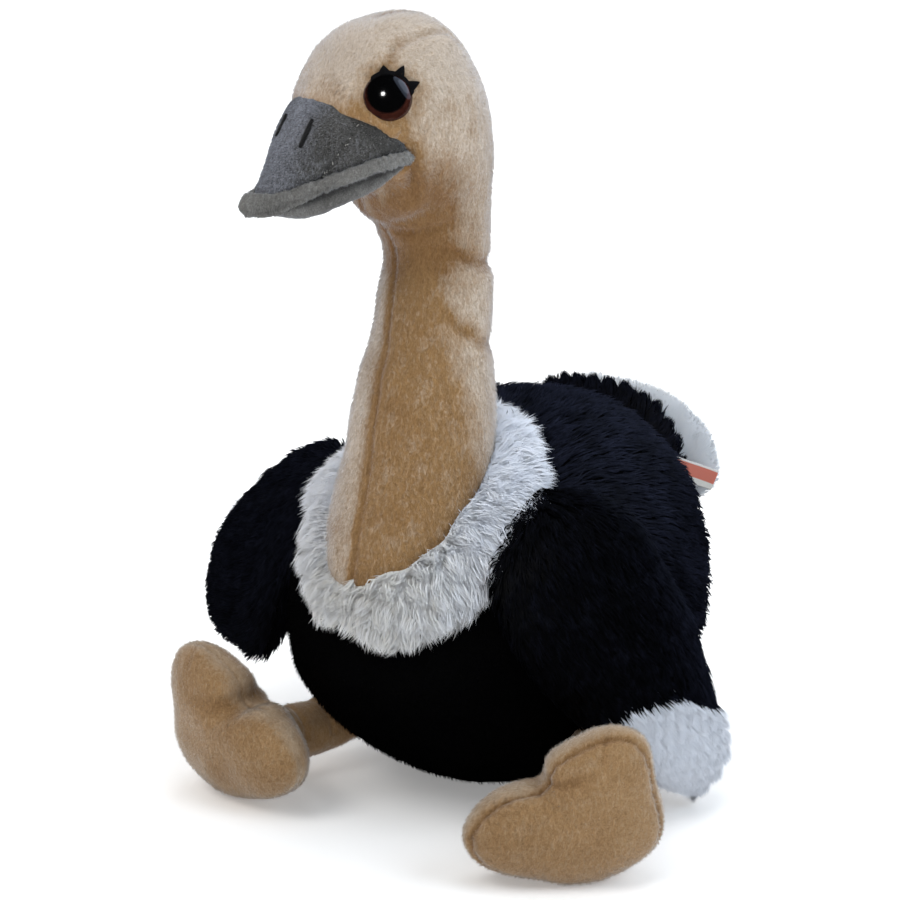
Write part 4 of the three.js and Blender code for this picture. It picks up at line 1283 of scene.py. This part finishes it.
# %% Leg and foot skins
def foot_skin(foot):
    """A sole with its rim seam, its fold and two darts, and its marks: painted crease shade in the seam, the
    fold and the darts, and painted sheen where its surface turns edge-on. The skin dips by `deep` at the
    seam, (1 + 0.3 cos) of it for the puckers, and beside the fold it swells by 0.4 of the fold's depth."""
    yaw, pitch, roll = (math.radians(foot[key]) for key in ("yaw", "pitch", "roll"))
    outwards = foot["sign"] * np.array([math.cos(yaw), math.sin(yaw), 0])
    ahead = np.array([math.sin(yaw), -math.cos(yaw), 0])
    up = np.array([0, 0, math.cos(pitch)]) + ahead * math.sin(pitch)
    axis = outwards * math.cos(roll) - up * math.sin(roll)
    rise = up * math.cos(roll) + outwards * math.sin(roll)
    facing = np.cross(axis, rise)
    sole = pillow(foot["at"], axis, rise, sole_edge, FOOT_THICK, 110, SOLE_SIDES)
    sole.points[..., 2] = np.maximum(sole.points[..., 2], 0)
    sole = Skin(sole.points).raised(-FOOT_PILE)

    def on_sole(degrees, share):
        """A place on the sole's middle plane, at a share of the way to its edge."""
        turn = np.radians(degrees)
        return foot["at"] + (axis * math.cos(turn) + rise * math.sin(turn)) * float(sole_edge(turn)) * share

    off_plane = (sole.points - foot["at"]) @ facing
    in_plane = sole.points - off_plane[..., None] * facing
    rim = step(np.linalg.norm(sole.points - foot["at"], axis=-1), 12, 16)
    if not foot["whole"]:  # the pile hides some stretches of the seam
        rim = rim * step(lumps(sole.points, 30, 42), -0.5, 0.3)
    distance = np.abs(off_plane - foot["seam"])
    pucker = 1 + 0.3 * np.cos(np.arange(SOLE_SIDES) * 2 * math.pi / SOLE_SIDES * SOLE_PUCKERS)
    height = 0.4 * lumps(sole.points, 15, 40) - foot["deep"] * rim * bump(distance, 0, 1.1) * pucker
    # painted crease shade in the rim seam, then in the fold and the darts
    crease = foot["deep"] * rim * bump(distance, 0, 0.8)

    distance, place = from_line(in_plane, [on_sole(degrees, share) for degrees, share in foot["fold"]])
    wide, fading = foot["fold_wide"], 1 - step(place, 8, 24)
    swelling = 0.4 * bump(distance, 2.6 * wide, 1.4 * wide)
    height += fading * foot["fold_deep"] * (swelling - bump(distance, 0, wide))
    crease = np.clip(crease + 0.5 * fading * bump(distance, 0, wide), 0, 1)
    for degrees in (75, 300):
        dart = [on_sole(degrees, share) for share in (1.0, 0.75)]
        height += 0.6 * seam(in_plane, dart, 0.5, 0.9)
        crease = np.clip(crease + 0.3 * bump(from_line(in_plane, dart)[0], 0, 0.8), 0, 1)

    # painted sheen: paler where the sole's surface turns edge-on
    edge_sheen = step(1 - np.abs(sole.normals @ facing), 0.35, 0.95)
    brushed = np.clip(0.75 * edge_sheen + 0.15 * lumps(sole.points, 9, 43), 0, 1)
    sole = sole.raised(height)
    sole.points[..., 2] = np.maximum(sole.points[..., 2], 0.5)
    return sole, {"crease": crease, "brushed": brushed}


def leg_skin(places, yaw):
    """A tube through three places, with a crease on its upper side about every 17 rings."""
    side = (math.cos(yaw), math.sin(yaw), 0)
    ribs = [((x, y, z - LEG_RADIUS), (x, y, z + LEG_RADIUS), LEG_RADIUS, side) for x, y, z in places]
    leg = ribbed(ribs, 90, 72).raised(-FOOT_PILE)
    ring = np.linspace(0, 90, 90)[:, None]
    creases = 0.6 * bump(ring % 17, 8, 1.6) * (leg.normals[..., 2] > 0)
    return leg.raised(0.5 * lumps(leg.points, 10, 41) - creases)


feet, legs, foot_marks = {}, {}, {}
for side, foot in FEET.items():
    feet[side], foot_marks[side] = foot_skin(foot)
    sewn(f"foot_{side}_skin", feet[side], TAN, (f"foot_{side}",), foot_marks[side])
    legs[side] = leg_skin(LEGS[side], math.radians(foot["yaw"]))
    sewn(f"leg_{side}_skin", legs[side], TAN, (f"leg_{side}",))
print("feet", [round(float(np.ptp(foot.points[..., 2])), 1) for foot in feet.values()], "mm tall")

# %% [markdown]
# ## The label
# A folded satin ribbon is caught in the seam by the tail. It is left plain but for one woven stripe. A cloth
# simulation could drop it, but so small a ribbon only keeps the slight wave that its weave gives it.

# %% Ribbon label
LABEL = {"long": 18, "wide": 7.5, "thick": 0.7, "at": (35, 70, 94), "turn": 40, "dip": 22, "wave": 0.7}


def ribbon_finish():
    """Satin: fine threads across the ribbon, with a coral stripe from 0.3 to 0.9 of its width."""
    recipe = Recipe("ribbon")
    weave = recipe.node("ShaderNodeTexWave", {"wave_type": "BANDS", "bands_direction": "Z"},
                        {"Vector": recipe.places(), "Scale": 1.2, "Distortion": 1.0}, "Fac")
    across = recipe.value("across")
    stripe = recipe.level(across, 0.3, 0.32) - recipe.level(across, 0.9, 0.92)
    plain = recipe.blend(weave, shade_of(200, 198, 192), shade_of(228, 226, 222))
    color = recipe.blend(stripe, plain, shade_of(206, 112, 92))
    return recipe.finish(Base_Color=color, Roughness=0.45, Sheen_Weight=0.2,
                         Normal=recipe.bumps(weave, 0.08))


share = np.linspace(-1, 1, 40)
turn = np.linspace(0, 2 * math.pi, 24, endpoint=False)
flat = np.stack(np.broadcast_arrays(
    (share * LABEL["long"] / 2)[:, None],
    squared(np.cos(turn), 0.2) * LABEL["thick"] / 2 + LABEL["wave"] * np.sin(2.4 * share)[:, None],
    squared(np.sin(turn), 0.5) * LABEL["wide"] / 2), -1)
turned = Matrix.Rotation(math.radians(LABEL["turn"]), 3, "Z")
dipped = Matrix.Rotation(math.radians(LABEL["dip"]), 3, "Y")
label = Skin(flat @ np.array(turned @ dipped).T + LABEL["at"])
label_marks = {"across": flat[..., 2] / LABEL["wide"] + 0.5}
placed(skin_mesh("label_ribbon", label, label_marks), ribbon_finish(), ("label",))
print("a plain ribbon label", LABEL["long"], "mm long")

# %% [markdown]
# ## Growing the pile
# Each fabric gets its own tufts: their length, how steeply they leave the skin, which way they lie and how
# they gather into locks. Combing particle hair would set these by hand. Here the lie is a function of the
# root's place: along the piece, away from a middle, or both with a push down or back.

# %% The lie of the pile
def towards(weight_along, *push):
    """A lie along the length of the piece, times a weight, plus a fixed push."""
    return lambda places, length: length * weight_along + np.array(push or (0, 0, 0))


def away_from(centre, *push):
    """A lie that radiates from a place, plus a fixed push."""
    return lambda places, length: unit(places - np.array(centre, float)) + np.array(push or (0, 0, 0))


def grown(name, fabric, *growing, **how):
    """A coat of one fabric's tufts, hung on the toy."""
    return placed(coat(name, *growing, **how), fabric["tufts"])


print("a lie is a function of the roots and of the piece's length")

# %% [markdown]
# ## Short pile
# Plush is brushed from the face back over the head and down the neck, with tufts about 2 mm long that are
# shortest round the bill. The eyes and the bill keep their own places free. The velour of the bill has
# spikes about a millimetre long, and the feet are brushed outwards from their middles. A bump in the
# material alone would look as soft from afar, but tufts also break the outline, on every side.

# %% Plush and velour
def on_face(places):
    """Roots that neither the eyes nor the bill cover."""
    free = [np.linalg.norm(places - eye, axis=-1) > EYE["radius"] - 0.4 for eye in EYE_PLACES]
    return np.all(free, axis=0) & outside(bill_upper, bill_lower, bill_lip, gap=0.1)(places)


def short_near_bill(places):
    """The length of the face's pile: 0.5 mm at the seam of the bill, and 1.7 mm from 3.5 mm off."""
    return 0.5 + 1.2 * step(np.minimum(beyond(bill_upper, places), beyond(bill_lower, places)), 0, 3.5)


HEAD_FROM = 196  # the height at which the neck's tufts end and the head's begin
on_neck = (beige.points[..., 2] < HEAD_FROM).astype(float)
PLUSH = {"lift": (30, 14), "knees": 0, "ragged": 0.35, "locks": 2.0, "pull": 0.45}
face_to_shoulders = towards(-1.0, 0, 0, -0.35)
grown("neck_pile", BEIGE, beige, 30000, 1.9, 0.28, face_to_shoulders, weight=on_neck, keep=outside(trunk),
      marks=beige_marks, seed=49, **PLUSH)
grown("head_pile", BEIGE, beige, 34000, short_near_bill, 0.26, face_to_shoulders, weight=1 - on_neck,
      keep=on_face, marks=beige_marks, seed=50, **PLUSH)

VELOUR_PILE = {"lift": (40, 25), "knees": 0, "ragged": 0.3, "keep": outside(beige, gap=0.3)}
from_bill_middle = away_from(on_head([(40, 0, 240)])[0])
grown("bill_upper_pile", GREY, bill_upper, 14000, 0.9, 0.36, towards(1.0), marks=bill_marks, seed=51,
      **VELOUR_PILE)
grown("bill_lower_pile", LIGHTENED_JAW_VELOUR, bill_lower, 6000, 0.9, 0.3, towards(1.0), seed=52, **VELOUR_PILE)
grown("bill_lip_pile", LIP_VELOUR, bill_lip, 8000, 0.9, 0.3, from_bill_middle, marks=lip_marks, seed=53,
      **VELOUR_PILE)

for side in ("left", "right"):
    from_sole = away_from(FEET[side]["at"], 0, 0, -0.3)
    grown(f"foot_{side}_pile", TAN, feet[side], 15000, 1.5, 0.27, from_sole, marks=foot_marks[side], seed=54,
          **PLUSH)
    grown(f"leg_{side}_pile", TAN, legs[side], 5000, 1.5, 0.27, towards(1.0), seed=55,
          keep=outside(trunk, feet[side]), **PLUSH)
grown("belly_pile", BLACK, trunk, 18000, 2.2, 0.35, towards(0.6, 0, 0.3, -0.8), weight=belly_fur, seed=56,
      **PLUSH)
print("short pile is on")

# %% [markdown]
# ## Long pile
# Long black pile runs back and down over the body and out to the tips of the wings, where white pile takes
# over. Black tufts end half a millimetre past the seam and white ones begin a millimetre before it, so that
# no skin shows between them. The tail's fans are brushed outwards from their foot. The white fan's tufts
# have no knees, and its hidden strip just behind the rim is left bare.

# %% Back, wings and tail
LONG_BLACK = {"locks": 3.5, "wave": 0.5}
grown("back_pile", SILK, trunk, 17000, 9.0, 0.65, towards(1.0, 0, 0, -0.7), lift=(32, 10), weight=back_fur,
      keep=outside(ruff), marks=back_painted_sheen, seed=57, **LONG_BLACK)
for side in ("left", "right"):
    past = past_seam[side]
    out_and_down = towards(1.0, 0, 0.1, -0.25)
    grown(f"wing_{side}_pile", SILK, wings[side], 15500, 8.5, 0.62, out_and_down, lift=(32, 10),
          weight=past < 0.5, keep=outside(trunk), marks=wing_marks[side], seed=58, **LONG_BLACK)
    inside_cap = wings[side].unwrap[..., 1] < 0.97
    grown(f"wing_end_{side}_pile", WHITE, wings[side], 24000, 9.5, 0.4, out_and_down, lift=(20, 6), knees=0,
          weight=(past > -1.0) & inside_cap, keep=outside(trunk), locks=5.0, pull=0.6, seed=59)

fan_foot = away_from((-4, 84, 66))
# painted sheen on the tail's black pile, as on the back
tail_painted_sheen = {"brushed": np.full(tails["black"].points.shape[:2], 0.45)}
grown("tail_black_pile", SILK, tails["black"], 9000, 8.5, 0.65, fan_foot, lift=(28, 8), keep=outside(trunk),
      locks=6.0, pull=0.7, wave=0.5, marks=tail_painted_sheen, seed=60)
face = tails["white"].unwrap[..., 1]  # 0 on the fan's front, 0.5 at its rim and 1 on its back
grown("tail_white_pile", LIGHTENED_WHITE, tails["white"], 34000, 5.0, 0.36, fan_foot, lift=(22, 6), knees=0,
      weight=(face < 0.5) | (face > 0.6), keep=outside(trunk), locks=3.5, pull=0.3, rounded=0.12, seed=61)
print("long pile is on")

# %% [markdown]
# ## The fluff of the ruff
# The fluff stands out from the neck all round and droops. A real one has dense short down with longer locks
# over it, so it is grown twice: many short tufts, then fewer and longer ones that gather into curly locks.
# Both are shorter beside the neck, which they must not cross, and longest at the rim.

# %% Down and locks
def fluff_length(full):
    """A length that grows from 0.6 of `full` beside the neck to `full` 8 mm off, and to 1.3 past 24 mm."""
    def length(places):
        far = beside(beige, places)
        return full * (0.6 + 0.4 * step(far, 0, 8) + 0.3 * step(far, 14, 24))

    return length


def stand_by_neck(places):
    """9 degrees more lift within a millimetre of the neck, and none from 6 mm off."""
    return 9 * (1 - step(beside(beige, places), 1, 6))


open_ruff = outside(trunk, beige, gap=-1.0)(ruff.points.reshape(-1, 3)).reshape(ruff.points.shape[:2])
FLUFF = {"keep": outside(trunk, beige), "weight": open_ruff, "ragged": 0.75, "rounded": 0.2,
         "marks": ruff_marks, "stand": stand_by_neck}
from_neck = away_from((-2, -47, 110), 0, 0, -0.5)
grown("ruff_under_pile", CREAM, ruff, 58000, fluff_length(8.0), 0.42, from_neck, lift=(34, 12), knees=0,
      locks=3.0, pull=0.5, seed=62, **FLUFF)
grown("ruff_pile", CREAM, ruff, 18500, fluff_length(12.0), 0.36, from_neck, lift=(34, 15), locks=7.0,
      wave=1.6, pull=0.72, seed=63, **FLUFF)
for piece in bpy.data.objects:
    if piece.name.endswith("_pile"):
        print(piece.name, len(piece.data.loops) - 2 * len(piece.data.polygons), "triangles")

# %% [markdown]
# ## Floor and camera
# The toy sits on a plain pale sheet that curves up behind it, as in a small studio. The camera stands in
# front of the toy, to its left and a little above, with a long lens that keeps the big feet from looking
# bigger still. A pale sky alone would do as a background, but then the toy would float without a shadow.

# %% The sheet and the camera
AZIMUTH, ELEVATION = math.radians(34), math.radians(15)
DISTANCE, LENS = 1.1, 127.6  # metres, and the lens in millimetres
TARGET = Vector((-0.020, -0.002, 0.110))


def facing_from(azimuth, elevation):
    """The way from the toy towards a place at these angles: sin and cos of them, with 0 at its front."""
    flat = math.cos(elevation)
    return Vector((math.sin(azimuth) * flat, -math.cos(azimuth) * flat, math.sin(elevation)))


def sweep():
    """A floor that curves up behind: flat, then a quarter circle, then a wall, in millimetres."""
    near, far, radius, tall, half = -2500, 1500, 900, 3000, 4000
    turn = np.linspace(0, math.pi / 2, 24)
    depth = np.concatenate([[near], far + radius * np.sin(turn), [far + radius]])
    rise = np.concatenate([[0], radius * (1 - np.cos(turn)), [tall]])
    across = np.array([math.cos(AZIMUTH), math.sin(AZIMUTH), 0])
    away = np.array([-across[1], across[0], 0])
    middle = depth[:, None] * away + rise[:, None] * np.array([0, 0, 1.0])
    count = len(depth)
    strip = np.arange(count - 1)[:, None] + np.array([0, count, count + 1, 1])
    places = np.concatenate([middle + across * x for x in (-half, half)])
    return new_mesh("floor", places, strip.ravel(), np.full(count - 1, 4))


def floor_finish():
    """Matt white paper with a faint mottle. It has a painted glow that grows from 0.1 to 0.9 m from the toy,
    light that stands in for a lit backdrop."""
    recipe = Recipe("paper")
    mottle = recipe.noise(recipe.places(), 60, 3)
    place = recipe.node("ShaderNodeTexCoord", output="Object")
    far = recipe.node("ShaderNodeVectorMath", {"operation": "LENGTH"}, [place], "Value")
    # painted glow: the paper gives off light, more of it farther from the toy
    glow = recipe.blend(recipe.level(far, 0.1, 0.9), (0.25, 0.25, 0.25, 1), (0.8, 0.8, 0.8, 1))
    color = recipe.blend(mottle, shade_of(238, 238, 238), shade_of(246, 246, 246))
    return recipe.finish(Base_Color=color, Roughness=0.9, Specular_IOR_Level=0.2, Emission_Color=glow,
                         Emission_Strength=1.0)


floor = sweep()
floor.data.materials.append(floor_finish())
floor.visible_glossy = False  # a glossy eye would mirror it as a grey band

camera = bpy.data.objects.new("camera", bpy.data.cameras.new("camera"))
camera.data.lens = LENS
way = facing_from(AZIMUTH, ELEVATION)
camera.location = TARGET + way * DISTANCE
camera.rotation_euler = way.to_track_quat("Z", "Y").to_euler()
bpy.context.collection.objects.link(camera)
bpy.context.scene.camera = camera
print("camera at", [round(value, 3) for value in camera.location])

# %% [markdown]
# ## Light
# One warm and one cool light stand left and right of the camera, a cool one behind the toy gives the pale
# edge on the neck and the wing, a small one hangs over it, and the sky fills the rest. Those four light only
# the matt pile. The glossy eye has lights of its own, a small one for the catchlight and two wide blue ones
# at its edge, so that no lamp or sheet of paper is mirrored by accident. A picture of a room as the sky
# would light the toy in one step, but it couldn't be told to spare the eye.

# %% Lamps and sky
MATT, GLOSSY = (True, False), (False, True)  # whether a light falls on matt and shows in glossy surfaces


def soft_light(name, azimuth, elevation, distance, size, power, color, seen):
    """A round area light that looks at the toy, placed by its angle from the camera's side."""
    way = facing_from(math.radians(azimuth) + AZIMUTH, math.radians(elevation))
    light = bpy.data.objects.new(name, bpy.data.lights.new(name, "AREA"))
    light.data.shape, light.data.size = "DISK", size
    light.data.energy, light.data.color = power, color
    light.location = Vector((0, 0, 0.12)) + way * distance
    light.rotation_euler = way.to_track_quat("Z", "Y").to_euler()
    light.visible_diffuse, light.visible_glossy = seen
    bpy.context.collection.objects.link(light)


soft_light("key", -50, 50, 1.5, 0.8, 7.5, (1.0, 0.98, 0.95), MATT)
soft_light("window", 60, 34, 1.5, 1.0, 11, (0.80, 0.90, 1.0), MATT)
soft_light("back", 165, 45, 1.5, 1.0, 9, (0.92, 0.96, 1.0), MATT)
soft_light("catchlight", -12, 30, 1.2, 0.26, 7, (1, 1, 1), GLOSSY)
soft_light("gleam", 100, 38, 1.5, 1.2, 7, (0.70, 0.80, 1.0), GLOSSY)
soft_light("wide gleam", 104, 36, 1.5, 2.2, 18, (0.62, 0.74, 1.0), GLOSSY)
soft_light("top", 15, 82, 1.5, 1.0, 5.5, (0.95, 0.97, 1.0), MATT)
world = bpy.data.worlds.new("studio")
bpy.context.scene.world = world
world.use_nodes = True
world.node_tree.nodes["Background"].inputs["Color"].default_value = (1, 1, 1, 1)
world.node_tree.nodes["Background"].inputs["Strength"].default_value = 0.3
world.cycles_visibility.glossy = False
bpy.context.scene.view_settings.view_transform = "Standard"
